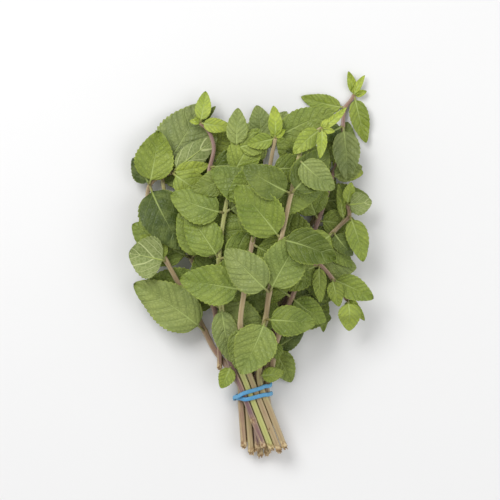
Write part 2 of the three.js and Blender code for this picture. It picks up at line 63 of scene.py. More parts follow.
STEM_RADIUS = 1.52          # at the cut end
TIP_RADIUS = 0.95           # at the growing tip
LOOSE_RADIUS = 1.3          # at the foot of the loose stem
STEM_TAPER = 1.5            # above 1 a stem keeps its thickness for longer
SAMPLE_STEP = 2             # spacing at which a stem is settled
SAG_ROUNDS = 20             # more rounds make a stiffer stem
STEM_SIDES = 6
HEX_FLAT = cos(pi / STEM_SIDES)

BAND_Y = -68                # where the rubber band grips the stems
BAND_THICKNESS = 1.2
BAND_GAP = 0.75             # to the leaning stems inside it
BAND_BULGE = 0.5            # how far the band bows away from straight between two stems
BAND_HOLD = 8               # from this far above it downwards the band keeps stems in their rows
BAND_SPREAD = 2.5           # half the distance between its two turns, at the right
BAND_SLOPE = 0.25           # rise of the turns for each step to the right
BAND_STEPS = 40             # points of its two turns
BAND_CROSSING = 2.95        # angle round the bundle at which one turn crosses the other
CROSSING_HALF = 1.05        # half the angle over which they overlap
CROSSING_EASE = 0.7         # the angle over which the upper turn comes back down
BUNDLE_CENTRE = (2, 7.6)    # across and up

GAP = 0.25                  # air between leaves and what they touch
STEM_GAP = 0.3              # air between stems that touch
BLADE = 0.65                # leaf thickness in the layout
PETIOLE_HALF = 0.95         # half the width of a leaf stalk
STALK_SHARE = 0.09          # of a leaf's length
LEAF_WIDTH = 0.33           # half width of a blade as a share of its length
BASE_FULLNESS = 0.72        # under 1 a blade is broadest nearer its base
EDGE_FULLNESS = 0.8         # under 1 its outline is fuller
NOTCH = 0.16                # depth of the cuts between teeth, as a share of half width
TOOTH_TIP = 0.6             # how far along it a tooth is highest
LARGE_LEAF = 34             # leaves from this length on have more teeth
SMALL_LEAF = 20             # shorter leaves have no teeth
ROOT_REACH = 3.4            # round its root a leaf may touch its own stem
BURIED = 0.45               # share of a stalk that is inside or beside its stem
MARGIN = 0.5                # round each point that must be clear
SPREAD = 0.8                # distance between the points at which a blade is tested
EVEN_ROUNDS = 3             # rounds that even out how a blade is lifted
ALONG_SHARE = 0.42          # of the lift of a blade's neighbours, along its rib
ACROSS_SHARE = 0.55         # of the lift of its rib, at its edges

# The free shape of a leaf. RISE and FOLD are the most for a leaf without freedom,
# and how much a freedom of 1 adds to that.
BEND = 0.35                 # most turn of a rib to either side, in radians
RISE = (0.08, 0.26)         # most slope of a rib out of its stem
SAG = (0.1, 0.36)           # least and most droop of a rib at its tip
HELD_SAG = 0.4              # share of the droop that a leaf without freedom has
LEAST_FOLD = 0.02           # slope of both halves up from the rib
FOLD = (0.1, 0.14)
ROLL = 0.16                 # most slope of the whole blade to either side
HELD_ROLL = 0.3             # share of it that a leaf without freedom has

ROW_PITCH = 3.65            # height of one row of stems above the next
PLACE_PITCH = 3.6           # distance between stems in a row
FIRST_ROW_Z = STEM_RADIUS + BAND_GAP + BAND_THICKNESS + BAND_BULGE
STRAIGHT = (7, -4.5)        # below and above the band a stem is straight this far

# Where each row starts at the band, how it leans there, how freely its leaves stand up.
ROWS = [(-3.4, -0.05, 0.0), (-5.2, -0.07, 0.15), (-3.6, -0.39, 0.18)]

# Name, row, place, tail below the band, and the route from the band to the tip:
# x, y and then the leaves that grow there, each [bearing in degrees, length], and
# a third number where a blade is broader or narrower than most.
STEMS = [
    ("under_left", 0, 0, 25, [
        [-7, -55], [-11, -41], [-15, -19, [165, 32]], [-18, 5, [130, 36], [20, 30]], [-21, 28, [100, 34]],
        [-25, 46, [160, 30]], [-28, 57, [36, 26]]]),
    ("under_centre", 0, 1, 30, [
        [1, -55], [3, -40], [4, -19, [160, 38], [20, 34]], [6, 7, [60, 36], [150, 36]], [6, 31, [165, 34]],
        [6, 49, [118, 30]], [6, 62, [54, 23, 0.8], [97, 22, 0.97]]]),
    ("under_right", 0, 2, 33, [
        [7, -53], [11, -34], [19, -11, [35, 34]], [27, 13, [-8, 30]], [34, 24, [66, 26, 0.75]],
        [35, 33, [5, 28]], [40, 44, [138, 34]], [45, 50, [75, 26], [-8, 15, 1.2]]]),
    ("under_corner", 0, 3, 32, [
        [9, -58], [12, -46, [32, 19, 0.85], [-62, 20, 1.05]], [17, -33], [25, -21, [30, 24]],
        [32, -15, [60, 18]], [37, -14, [-86, 22, 0.5], [0, 11]]]),
    ("middle_left", 1, 1, 31, [
        [-6, -55], [-13, -39], [-22, -16, [172, 34]], [-31, 3, [150, 36], [35, 34]],
        [-40, 23, [240, 24], [30, 32]], [-45, 38], [-46, 46], [-45, 50, [140, 16], [60, 40, 1.15]]]),
    ("middle_far_left", 1, 0, 28, [
        [-8, -60], [-13, -53], [-19, -45], [-24, -35, [146, 45, 0.85]], [-31, -20], [-38, -9],
        [-44, 2, [135, 19], [168, 20, 1.8]], [-51, 15], [-54, 29],
        [-53, 41, [122, 17, 1.1], [80, 29, 1.15], [-62, 38, 1.05]], [-49, 45],
        [-41, 48, [38, 30, 0.7], [12, 20, 0.7], [-32, 28, 0.9]]]),
    ("middle_right", 1, 2, 29, [
        [5, -56], [10, -42], [17, -24, [-10, 26]], [26, 0, [-5, 30], [130, 34]],
        [36, 23, [110, 34], [-10, 22]], [43, 45, [150, 28], [20, 17]], [48, 61],
        [49, 73, [208, 16], [-86, 29, 0.8]], [50, 82, [166, 24, 0.65]], [53, 86],
        [55, 89, [-76, 26, 0.62], [104, 13, 0.6], [62, 12, 0.5]]]),
    ("middle_far_right", 1, 3, 27, [
        [9, -56], [14, -41], [21, -19, [10, 26]], [30, 1, [120, 34], [-68, 24]], [38, 11, [-40, 20, 0.8]],
        [44, 17, [218, 26], [-50, 16, 0.9]], [49, 22, [98, 20, 0.35]], [52, 25, [-74, 25, 0.75]],
        [51, 31, [80, 12, 0.9], [8, 13, 1.5]]]),
    ("middle_corner", 1, 4, 28, [
        [11, -57], [14, -40, [-88, 10]], [16, -34, [140, 30]], [22, -17, [-35, 22], [150, 32]], [29, -3],
        [35, 0, [200, 28], [-88, 20, 0.6]], [40, -4], [43, -8, [-26, 24, 0.85], [-76, 15, 0.9]], [48, -15],
        [51, -19, [-50, 14, 0.55], [-88, 16, 1.2]]]),
    ("loose_stem", 2, None, 0, [
        [-16, -55], [-16, -42], [-15, -24, [115, 26], [15, 28]], [-10, 2, [10, 28]],
        [-7, 15, [120, 22], [30, 24]], [-5, 25, [78, 12]]]),
    ("top_left", 2, 0, 28, [
        [-10, -53, [245, 13, 1.1]], [-15, -41], [-19, -21, [-35, 34], [100, 30]],
        [-23, 3, [25, 38], [120, 28]], [-25, 27, [45, 38], [-40, 34]], [-21, 50, [5, 28]], [-19, 61],
        [-22, 70], [-26, 74, [48, 12, 0.5], [-6, 17, 0.75], [81, 17, 0.8]]]),
    ("top_centre", 2, 1, 29, [
        [-6, -53], [-11, -40], [-15, -21, [60, 36], [-80, 30, 0.7]], [-16, 3, [125, 30], [20, 34]],
        [-13, 27, [25, 36], [160, 30]], [-9, 47, [60, 28], [200, 22]],
        [-7, 60, [10, 20], [88, 21, 0.85]]]),
    ("top_right", 2, 2, 30, [
        [-2, -53], [-5, -32, [-95, 23, 0.85]], [-3, -14, [170, 34]], [1, 10, [70, 38], [-30, 34]],
        [6, 34, [10, 32], [150, 30]], [10, 49, [215, 26], [5, 24]], [12, 60],
        [13, 65, [25, 34, 0.75], [192, 15, 0.9], [93, 17, 0.7]]]),
    ("top_far_right", 2, 3, 28, [
        [5, -58, [8, 13]], [5, -52], [6, -37], [8, -29, [245, 31, 1.15], [-5, 26]],
        [10, -14, [60, 36], [135, 32]], [16, 13, [130, 36], [-20, 30]], [21, 36, [150, 28], [52, 30]],
        [25, 54, [-40, 24]], [28, 65], [33, 68],
        [37, 70, [222, 20, 0.8], [-95, 16, 0.55], [41, 17, 0.42]]]),
]

# ---- Seeded draws ----

DRAW_FACTOR, DRAW_STEP, DRAW_RANGE = 1664525, 1013904223, 2 ** 32
draw_state = 20311
looks = random.Random(52)   # for what shows but moves nothing


def lerp(low, high, share):
    return low + (high - low) * share


def draw(low, high):
    """A repeatable draw, in step with the CAD part's own."""
    global draw_state
    draw_state = (draw_state * DRAW_FACTOR + DRAW_STEP) % DRAW_RANGE
    return lerp(low, high, draw_state / DRAW_RANGE)


def smoothstep(value, low, high):
    share = min(1.0, max(0.0, (value - low) / (high - low)))
    return share * share * (3 - 2 * share)


# ---- Curves through points ----

CURVE_DIVISIONS = 200


def extended(end, before):
    return tuple(2 * a - b for a, b in zip(end, before))


class Curve:
    """A centripetal Catmull-Rom curve, with its length measured."""

    def __init__(self, points, closed=False):
        if closed:
            self.points = [points[-1], *points, *points[:2]]
        else:
            self.points = [extended(*points[:2]), *points, extended(*points[:-3:-1])]
        self.spans = len(self.points) - 3
        marks = [self.at(division / CURVE_DIVISIONS) for division in range(CURVE_DIVISIONS + 1)]
        self.lengths = [0.0, *accumulate(map(dist, marks, marks[1:]))]

    def at(self, share):
        first = min(self.spans - 1, floor(self.spans * share))
        weight = self.spans * share - first
        near = self.points[first:first + 4]
        dt0, dt1, dt2 = (sqrt(dist(*pair)) for pair in zip(near, near[1:]))
        point = []
        for a, b, c, d in zip(*near):
            leave = ((b - a) / dt0 - (c - a) / (dt0 + dt1) + (c - b) / dt1) * dt1
            arrive = ((c - b) / dt1 - (d - b) / (dt1 + dt2) + (d - c) / dt2) * dt1
            point.append(hermite(b, c, leave, arrive, weight))
        return tuple(point)

    def spaced(self, count):
        """Points at equal distances along the curve, both ends included."""
        points, division = [], 0
        for step in range(count + 1):
            target = self.lengths[-1] * step / count
            while division < CURVE_DIVISIONS - 1 and self.lengths[division + 1] <= target:
                division += 1
            low, high = self.lengths[division:division + 2]
            points.append(self.at((division + (target - low) / (high - low)) / CURVE_DIVISIONS))
        return points


def hermite(start, end, leave, arrive, weight):
    """A smooth way from start to end that leaves and arrives at the given slopes."""
    square, cube = weight * weight, weight ** 3
    return (start + leave * weight + (3 * (end - start) - 2 * leave - arrive) * square
            + (2 * (start - end) + leave + arrive) * cube)


# ---- Height maps: how high what already lies there reaches ----

MAP_MIN_X, MAP_MIN_Y, MAP_COLUMNS, MAP_ROWS = -95, -125, 190, 245    # one cell is 1 mm square
EMPTY_MAP = [0.0] * (MAP_COLUMNS * MAP_ROWS)


def cells(x, y, reach):
    first = floor(x - reach - MAP_MIN_X)
    last = floor(x + reach - MAP_MIN_X)
    for row in range(floor(y - reach - MAP_MIN_Y), floor(y + reach - MAP_MIN_Y) + 1):
        for column in range(first, last + 1):
            yield row * MAP_COLUMNS + column


def raise_map(heights, x, y, z, reach):
    for cell in cells(x, y, reach):
        heights[cell] = max(heights[cell], z)


def peak(heights, x, y, reach):
    return max(0, max(heights[cell] for cell in cells(x, y, reach)))


def with_stems(heights, samples):
    """A copy of a height map that stems lie on too."""
    heights = list(heights)
    for sample in samples:
        raise_map(heights, sample.x, sample.y, sample.z + sample.radius, sample.radius)
    return heights


blade_map = list(EMPTY_MAP)
laid_tubes = []


# ---- Settling a stem ----

class Sample:
    """One point along a stem."""

    def __init__(self, x, y, radius, lowest, gripped):
        self.x, self.y, self.z = x, y, lowest
        self.radius, self.lowest, self.gripped = radius, lowest, gripped


def plan_route(row, place, tail, route):
    points = [tuple(entry[:2]) for entry in route]
    if place is None:
        return points
    start_x, lean, _ = ROWS[row]
    grip_x = start_x + PLACE_PITCH * place
    return [(grip_x - lean * drop, BAND_Y - drop) for drop in (tail, *STRAIGHT)] + points


def clear_of_tubes(x, y, radius):
    lowest = 0
    for other in laid_tubes:
        reach = other.radius + radius + STEM_GAP
        apart = hypot(other.x - x, other.y - y)
        if apart < reach:
            lowest = max(lowest, other.z + sqrt(reach * reach - apart * apart))
    return lowest


def settle_stem(row, place, tail, route):
    curve = Curve(plan_route(row, place, tail, route))
    count = round(curve.lengths[-1] / SAMPLE_STEP)
    root_radius = LOOSE_RADIUS if place is None else STEM_RADIUS
    samples = []
    for index, (x, y) in enumerate(curve.spaced(count)):
        radius = lerp(root_radius, TIP_RADIUS, (index / count) ** STEM_TAPER)
        gripped = place is not None and y < BAND_Y + BAND_HOLD
        on_blades = peak(blade_map, x, y, radius + MARGIN)
        lowest = max(radius * HEX_FLAT, clear_of_tubes(x, y, radius),
                     on_blades + GAP + radius if on_blades > 0 else 0,
                     FIRST_ROW_Z + ROW_PITCH * row if gripped else 0)
        samples.append(Sample(x, y, radius, lowest, gripped))
    for _ in range(SAG_ROUNDS):
        for index, sample in enumerate(samples):
            before = samples[max(0, index - 1)]
            after = samples[min(count, index + 1)]
            if not sample.gripped:
                sample.z = max(sample.lowest, (before.z + after.z) / 2)
    return samples


# ---- The net that carries a leaf ----

STATIONS = [0, 0.13, 0.42, 0.72, 1]
LAST = len(STATIONS) - 1


class Leaf:
    """Where a leaf grows, the way it points, and how it is shaped."""

    def __init__(self, root, freedom, bearing, length, breadth=1):
        self.x, self.y, self.z = root.x, root.y, root.z
        self.length, self.breadth = length, breadth
        self.bend = draw(-BEND, BEND)
        self.rise = draw(0, RISE[0] + RISE[1] * freedom)
        self.sag = draw(*SAG) * (HELD_SAG + freedom)
        self.fold = draw(LEAST_FOLD, FOLD[0] + FOLD[1] * freedom)
        self.roll = draw(-ROLL, ROLL) * (HELD_ROLL + freedom)
        self.heading = radians(bearing) - self.bend / 2


TIP_SHARE = 0.45            # of the blade's length, from which its tip may be fuller


def half_width(leaf, share, tip_fullness=EDGE_FULLNESS):
    along = max(0, (share - STALK_SHARE) / (1 - STALK_SHARE))
    fullness = lerp(EDGE_FULLNESS, tip_fullness, smoothstep(along, TIP_SHARE, 1))
    swell = max(0, sin(pi * along ** BASE_FULLNESS)) ** fullness
    blade = LEAF_WIDTH * leaf.breadth * leaf.length * swell
    return blade if share > 0.5 else max(PETIOLE_HALF, blade)


def leaf_plan(leaf, share, across, half):
    heading = leaf.heading + leaf.bend * share
    halfway = leaf.heading + leaf.bend * share / 2
    reach = leaf.length * share
    offset = across * half
    return (leaf.x + reach * cos(halfway) + offset * sin(heading),
            leaf.y + reach * sin(halfway) - offset * cos(heading))


def free_heights(leaf):
    net = []
    for share in STATIONS:
        rib = leaf.length * (leaf.rise * share - leaf.sag * share * share)
        row = []
        for across in (-1, 0, 1):
            sideways = across * half_width(leaf, share)
            opened = leaf.fold * abs(sideways) + leaf.roll * sideways if share > 0 else 0
            row.append(leaf.z + rib + opened)
        net.append(row)
    return net


def outline_points(leaf, station):
    start, end = STATIONS[station:station + 2]
    teeth = 2 if leaf.length >= LARGE_LEAF and station < LAST - 1 else 1
    toothed = leaf.length >= SMALL_LEAF and station > 0
    points = []
    for tooth in range(teeth if toothed else 0):
        points.append((start + (end - start) * (tooth + TOOTH_TIP) / teeth, 1))
        if tooth < teeth - 1:
            points.append((start + (end - start) * (tooth + 1) / teeth, 1 - NOTCH))
    if station < LAST - 1:
        points.append((end, 1 - NOTCH if toothed else 1))
    return points


def blade_faces(leaf):
    """The faces of the leaf's net, each with its station and its side's column."""
    rib = [(min(station, LAST - 1), share, 0) for station, share in enumerate(STATIONS)]
    faces = []
    for side in (-1, 1):
        end = (0, 0, side)
        for station in range(LAST):
            outline = [(station, share, side * across) for share, across in outline_points(leaf, station)]
            strip = [end, *outline]
            end = strip[-1]
            turn = len(strip) // 2
            for index in range(len(strip)):
                if index == min(turn, len(strip) - 1):
                    faces.append((station, 1 + side, (rib[station], rib[station + 1], strip[index])))
                if index < len(strip) - 1:
                    centre = rib[station] if index < turn else rib[station + 1]
                    faces.append((station, 1 + side, (centre, strip[index + 1], strip[index])))
    return faces


def net_height(net, station, share, across):
    start, end = STATIONS[station:station + 2]
    along = (share - start) / (end - start)
    column = 0 if across < 0 else 2
    rib = lerp(net[station][1], net[station + 1][1], along)
    edge = lerp(net[station][column], net[station + 1][column], along)
    return lerp(rib, edge, abs(across))


def spread(leaf, net, corners):
    """Points spread over a face of the net, under a millimetre apart."""
    a, b, c = ((*leaf_plan(leaf, share, across, half_width(leaf, share)),
                net_height(net, station, share, across)) for station, share, across in corners)
    count = ceil(max(dist(a, b), dist(b, c), dist(c, a)) / SPREAD)
    for i in range(count + 1):
        for j in range(count + 1 - i):
            to_a, to_b, to_c = 1 - (i + j) / count, i / count, j / count
            yield [p * to_a + q * to_b + r * to_c for p, q, r in zip(a, b, c)]


def clear_of_all(leaf, x, y, own, others):
    near_root = hypot(x - leaf.x, y - leaf.y) < ROOT_REACH
    maps = (blade_map, others) if near_root else (blade_map, others, own)
    below = max(peak(heights, x, y, MARGIN) for heights in maps)
    return BLADE / 2 + (below + GAP if below > 0 else 0)


def settle_leaf(leaf, faces, own, others):
    net = free_heights(leaf)
    needed = [[0, 0, 0] for _ in STATIONS]
    for station, column, corners in faces:
        for x, y, z in spread(leaf, net, corners):
            out_of_stem = hypot(x - leaf.x, y - leaf.y) / (STATIONS[1] * leaf.length)
            if station == 0 and out_of_stem < BURIED:
                continue
            lift = clear_of_all(leaf, x, y, own, others) - z
            if station == 0:
                lift /= min(1, out_of_stem)
            for row in needed[station:station + 2]:
                row[1] = max(row[1], lift)
                row[column] = max(row[column], lift)
    needed[0] = [0, 0, 0]
    for row in (1, LAST):
        needed[row] = [max(needed[row])] * 3
    lifts = [list(row) for row in needed]
    for _ in range(EVEN_ROUNDS):
        for row in range(1, LAST + 1):
            for column in range(3):
                beyond = lifts[row + 1][column] if row < LAST else 0
                along = (lifts[row - 1][column] + beyond) * ALONG_SHARE
                lifts[row][column] = max(needed[row][column], along, lifts[row][1] * ACROSS_SHARE)
        lifts[LAST] = [max(lifts[LAST])] * 3
    leaf.net = [[height + lift for height, lift in zip(*rows)] for rows in zip(net, lifts)]


def lay_stem(name, row, place, tail, route):
    """Settles a stem and its leaves on what lies below, and returns both."""
    samples = settle_stem(row, place, tail, route)
    own, others = with_stems(EMPTY_MAP, samples), with_stems(EMPTY_MAP, laid_tubes)
    own_blades, leaves = [], []
    for node, (node_x, node_y, *growths) in enumerate(route):
        for growth in growths:
            root = min(samples, key=lambda sample: hypot(sample.x - node_x, sample.y - node_y))
            leaf = Leaf(root, ROWS[row][2], *growth)
            leaf.to_tip = len(route) - 1 - node
            faces = blade_faces(leaf)
            settle_leaf(leaf, faces, own, others)
            for _, _, corners in faces:
                for x, y, z in spread(leaf, leaf.net, corners):
                    raise_map(own, x, y, z + BLADE / 2, 0)
                    own_blades.append((x, y, z))
            leaves.append(leaf)
    for x, y, z in own_blades:
        raise_map(blade_map, x, y, z + BLADE / 2, 0)
    laid_tubes.extend(samples)
    reach = [max(point[axis] for point in own_blades) for axis in (0, 1)]
    return {"name": name, "samples": samples, "leaves": leaves, "reach": reach}


laid = [lay_stem(*stem) for stem in STEMS]

# The layout's own origin lies here in the frame: both reach equally far right and up.
SHIFT = Vector([cad_box[1][axis] - MM * max(stem["reach"][axis] for stem in laid) for axis in (0, 1)] + [0])
INTO_FRAME = Matrix.Translation(SHIFT) @ Matrix.Scale(MM, 4)


# ---- Where a blade lies open, with nothing over it ----

LOOK_ROUND = 3              # how far round a point its openness is judged
OPEN_SLOPE = 0.45           # steepness that a blade may have and still count as its own roof
OPEN_SLACK = 0.75
OPEN_FROM = 0.55            # openness from which a blade counts as free
OPEN_ROWS, OPEN_COLUMNS = 8, 4
OPEN_WIDTH = 0.9            # of the blade's own
roof = with_stems(blade_map, laid_tubes)


def openness(x, y, z):
    """The share of the ground round a point over which nothing lies on a blade at height z."""
    offsets = range(-LOOK_ROUND, LOOK_ROUND + 1)
    clear = 0
    for step_x in offsets:
        for step_y in offsets:
            cell = next(cells(x + step_x, y + step_y, 0))
            clear += roof[cell] < z + OPEN_SLACK + OPEN_SLOPE * hypot(step_x, step_y)
    return clear / len(offsets) ** 2


def open_table(leaf):
    """How open a leaf lies, at even steps along it and across it."""
    table = []
    for row in range(OPEN_ROWS + 1):
        share = row / OPEN_ROWS
        line = []
        for column in range(OPEN_COLUMNS + 1):
            across = 2 * column / OPEN_COLUMNS - 1
            x, y = leaf_plan(leaf, share, across, OPEN_WIDTH * half_width(leaf, share))
            line.append(smoothstep(openness(x, y, blade_height(leaf, share, across)), OPEN_FROM, 1))
        table.append(line)
    return table


def look_up(table, share, across):
    """Reads such a table between its steps."""
    along = share * OPEN_ROWS
    sideways = (across + 1) / 2 * OPEN_COLUMNS
    row, column = min(OPEN_ROWS - 1, int(along)), min(OPEN_COLUMNS - 1, int(sideways))
    near, far = (lerp(*line[column:column + 2], sideways - column) for line in table[row:row + 2])
    return lerp(near, far, along - row)


# ---- Tubes: stems, leaf stalks and the band ----

MERGE = 1e-4                # closer vertices are one
LAYERS = ("stem_place", "leaf_place", "leaf_look")


def level_frames(path):
    """For each point of a path: which way is sideways and which way is up, square to the path."""
    frames = []
    for index in range(len(path)):
        tangent = (path[min(len(path) - 1, index + 1)] - path[max(0, index - 1)]).normalized()
        side = tangent.cross(Vector((0, 0, 1))).normalized()
        frames.append((side, side.cross(tangent).normalized()))
    return frames


def layers(bm):
    return [bm.verts.layers.float_vector[name] for name in LAYERS]


def grid(bm, columns, rows):
    """A grid of faces, with each vertex's share across and along."""
    made = bmesh.ops.create_grid(bm, x_segments=columns, y_segments=rows, size=1)["verts"]
    return [(vert, (vert.co.x + 1) / 2, (vert.co.y + 1) / 2) for vert in made]


def faces_round(verts):
    """The faces round some vertices, each once and always in the same order."""
    return list(dict.fromkeys(face for vert in verts for face in vert.link_faces))


def tube(bm, path, radii, sides, square=0.0):
    """A closed tube along a path. Returns its faces and the two end caps."""
    frames = level_frames(path)
    last = len(path) - 1
    stem_place = layers(bm)[0]
    lengths = [0.0, *accumulate((after - before).length for before, after in zip(path, path[1:]))]
    placed = grid(bm, sides, last)
    for vert, around, along in placed:
        step = round(along * last)
        angle = 2 * pi * around
        side, up = frames[step]
        radius = radii[step] * (1 - square * cos(4 * angle))
        vert.co = path[step] + side * (radius * cos(angle)) + up * (radius * sin(angle))
        vert[stem_place] = (cos(angle), sin(angle), lengths[step])
    verts = [vert for vert, _, _ in placed]
    bmesh.ops.remove_doubles(bm, verts=verts, dist=MERGE)
    verts = [vert for vert in verts if vert.is_valid]
    rims = dict.fromkeys(edge for vert in verts for edge in vert.link_edges if edge.is_boundary)
    caps = bmesh.ops.holes_fill(bm, edges=list(rims), sides=sides)["faces"]
    faces = faces_round(verts)
    for face in faces:
        face.smooth = face not in caps
    return faces, caps


# ---- One leaf ----

COLUMNS = 16                # across one blade
ROWS_PER_TOOTH = 4
TEETH = (5, 0.24)           # teeth on a side: this many, and so many more for each millimetre
VEINS = (5, 0.07)           # side veins, in the same way
VEIN_LEAN = 0.82            # how far a side vein runs forward for each step outwards
TURNED_VEINS, TURNED_LEAN = 3, 1.35     # on the underside the veins fan out more
VEIN_CURVE = 0.07           # how a side vein turns towards the tip
VEIN_UNEVEN = 0.17          # how far the side veins stand off even places
UNEVEN_PACE = 2.3
THICKNESS = 0.28
TOOTH_DEPTH = 0.08          # as a share of the half width
TOOTH_SHARPNESS = 6         # how soon a tooth ends inwards
TOOTHED_FROM = (0.05, 0.2)  # where the teeth begin, and where they are whole
TOOTHED_TO, TEETH_LOST = (0.8, 1), 0.6  # where they become lower towards the tip, and how much
BLADE_START = 0.085         # share of the length at which the blade begins
BASE_ROUNDING = 0.06        # share of the blade over which it widens from nothing
TIP_ROW = 0.99              # from here on along the blade it ends in a point
TIP_FULLNESS = 0.68         # under EDGE_FULLNESS, so that the tip is rounder
EDGE_SQUEEZE = 0.42         # brings the columns closer together near the edges
CROSS_CURVE = 1.2           # above 1 a blade is flatter at its rib than at its edges
GROOVE, GROOVE_WIDTH = 0.32, 0.7        # of the rib
BULGE_LENGTH = 3.4          # of the bulges that fine veins part between two side veins
BULGE_STAGGER = 0.37
BULGE_FULLNESS = 0.7
BULGE_CUT, CUT_SHARPNESS = 0.55, 8
BULGE_BESIDE = (0.2, 2)     # from the rib, where bulges begin and where they are whole
BULGE_RIM = 4               # how late they end towards the edge
BULGE_SHARES = (0.5, 1.6)   # of their height on a covered blade and on an open one
FREE_FROM = (0.08, 0.3)     # share of the length over which a blade comes free of its stem
SMALL_WAVE = (0.5, 2.3)     # height and pace of the second wave beside the first
WAVE_RIM, HELD_WAVE = 3, 0.35
FOLD_CURVE = 1.3
CURL_FROM = 0.55            # share of the length from which a lifted tip curls
SWAY_PACE = 4.5

# The least and the most of what differs from leaf to leaf.
QUILT = (0.12, 0.3)         # height of the bulges
WAVE = (0.3, 0.95)          # height of the waves along the edges
WAVES = (9, 17)             # pace of these waves
PHASE = (0, 6.3)
FOLDED = (0, 0.42)          # how steeply both halves of an open blade stand up
UNEVEN_FOLD = (-0.08, 0.12)  # what each half adds to that
ARCH = (0.05, 0.3)          # rise of the middle of a blade that is hardly folded
HARDLY_FOLDED = 0.12
TIP_LIFT = (0, 0.12)
SWAY = (0, 1.2)             # height of the long waves
HELD_SHARE = 0.3            # of arch and sway, left on a covered blade
YOUTH, TONE = (0, 0.12), (-0.9, 0.8)
YOUTH_BY_PAIRS_ABOVE = {0: 0.75, 1: 0.35}
YOUTH_LOWER = 0.08
YOUTH_BY_LENGTH = (1.2, 0.4, 40)        # share of it at no length, and at the length that comes third
QUILT_LOST = 0.45           # on the youngest leaves

# How some leaves look, by stem and by the order in which they grow there: tone, from
# -1 for dark, which is partly a deeper green and partly painted shade, through 0 for fresh
# green to 1 for dull, and youth, from 0 to 1.
LEAF_LOOKS = {
    "under_centre": {6: (0.9, 0.1), 7: (0.7, 0.05)},
    "under_right": {5: (0.4, 0.05), 6: (-0.2, 0.6)},
    "under_corner": {0: (-0.8, 0.0), 1: (0.3, 0.1), 4: (-0.3, 0.2)},
    "middle_left": {5: (-0.2, 0.4), 6: (0.9, 0.0)},
    "middle_far_left": {
        0: (0.85, 0.18), 1: (-0.2, 0.5), 2: (0.2, 0.3), 3: (-1.0, 0.0), 4: (-0.4, 0.35), 5: (-1.0, 0.0),
        6: (0.4, 0.5), 7: (-0.2, 0.75), 8: (-0.3, 0.5)},
    "middle_right": {
        7: (-1.0, 0.0), 8: (0.9, 0.0), 9: (-0.2, 0.35), 10: (-0.4, 0.4), 11: (0.0, 0.9), 12: (0.0, 1.0)},
    "middle_far_right": {
        3: (0.2, 0.1), 4: (-0.4, 0.3), 5: (-1.0, 0.1), 6: (0.2, 0.3), 7: (-0.3, 0.38), 8: (0.0, 0.75),
        9: (0.0, 0.75)},
    "middle_corner": {5: (-0.4, 0.3), 6: (-0.1, 0.15), 7: (-0.4, 0.3), 8: (-0.1, 0.48), 9: (-0.2, 0.5)},
    "top_left": {0: (0.1, 0.4), 8: (-0.8, 0.1), 9: (0.0, 0.9), 10: (0.0, 0.85)},
    "top_centre": {1: (0.8, 0.05), 8: (0.3, 0.3), 9: (0.7, 0.15)},
    "top_right": {0: (0.5, 0.1), 8: (0.3, 0.15), 9: (0.1, 0.45), 10: (0.0, 0.9)},
    "top_far_right": {0: (-0.3, 0.6), 1: (0.5, 0.15), 10: (0.0, 0.5), 11: (0.1, 0.8), 12: (0.0, 1.0)},
}
TURNED = {("middle_far_left", 2), ("middle_far_left", 6), ("middle_far_right", 9)}


def station_slopes(net, column):
    """How steeply one column of the net climbs at each station, per share of the length."""
    heights = [row[column] for row in net]
    spans = [end - start for start, end in zip(STATIONS, STATIONS[1:])]
    steps = [(high - low) / span for low, high, span in zip(heights, heights[1:], spans)]
    slopes = [steps[0]]
    for before, after, near, far in zip(spans, spans[1:], steps, steps[1:]):
        slope = (near * after + far * before) / (before + after) if near * far > 0 else 0
        limit = 3 * min(abs(near), abs(far))
        slopes.append(max(-limit, min(limit, slope)))
    return slopes + [steps[-1]]


def smooth_height(leaf, share, column):
    """Height of one column of the net at a share of the length, without corners."""
    station = max(index for index in range(LAST) if STATIONS[index] <= share)
    start, end = STATIONS[station:station + 2]
    low, high = (row[column] for row in leaf.net[station:station + 2])
    leave, arrive = (slope * (end - start) for slope in leaf.slopes[column][station:station + 2])
    return hermite(low, high, leave, arrive, (share - start) / (end - start))


def blade_height(leaf, share, across):
    rib = smooth_height(leaf, share, 1)
    edge = smooth_height(leaf, share, 0 if across < 0 else 2)
    return lerp(rib, edge, abs(across) ** CROSS_CURVE)


def side_vein(leaf, share, across, half):
    """Counts the side veins passed: a whole number on a vein, with its half between two."""
    forward = leaf.lean * abs(across) * half / leaf.length + VEIN_CURVE * across * across
    passed = (share - forward) * leaf.veins
    return passed + VEIN_UNEVEN * sin(UNEVEN_PACE * passed + leaf.phases[0])


def relief(leaf, share, along, across, half, vein):
    """Height of the blade's surface over the net: bulges, waves, folds and the rib's groove."""
    size = leaf.length / LARGE_LEAF
    rim = abs(across)
    side = 0 if across < 0 else 1
    phase = leaf.phases[side]
    free = look_up(leaf.open, share, across) * smoothstep(share, *FREE_FROM)
    between = abs(sin(pi * vein)) ** BULGE_FULLNESS
    crossing = rim * half / BULGE_LENGTH + BULGE_STAGGER * floor(vein)
    between *= 1 - BULGE_CUT * cos(pi * crossing) ** CUT_SHARPNESS
    bulge = leaf.quilt * size * between * smoothstep(rim * half, *BULGE_BESIDE) * (1 - rim ** BULGE_RIM)
    groove = -GROOVE * size * exp(-(rim * half / GROOVE_WIDTH) ** 2)
    turn = leaf.waves * along
    ripple = sin(turn + phase) + SMALL_WAVE[0] * sin(SMALL_WAVE[1] * turn - phase)
    wave = leaf.wave * size * ripple * rim ** WAVE_RIM * lerp(HELD_WAVE, 1, free)
    folded = leaf.folds[side] * half * rim ** FOLD_CURVE
    arched = leaf.arch * half * (1 - rim * rim)
    curled = leaf.tip_lift * leaf.length * smoothstep(share, CURL_FROM, 1) ** 2
    sway = leaf.sway * size * (1 + sin(SWAY_PACE * along + phase)) * rim
    return bulge * lerp(*BULGE_SHARES, free) + groove + wave + free * (folded + arched + curled + sway)


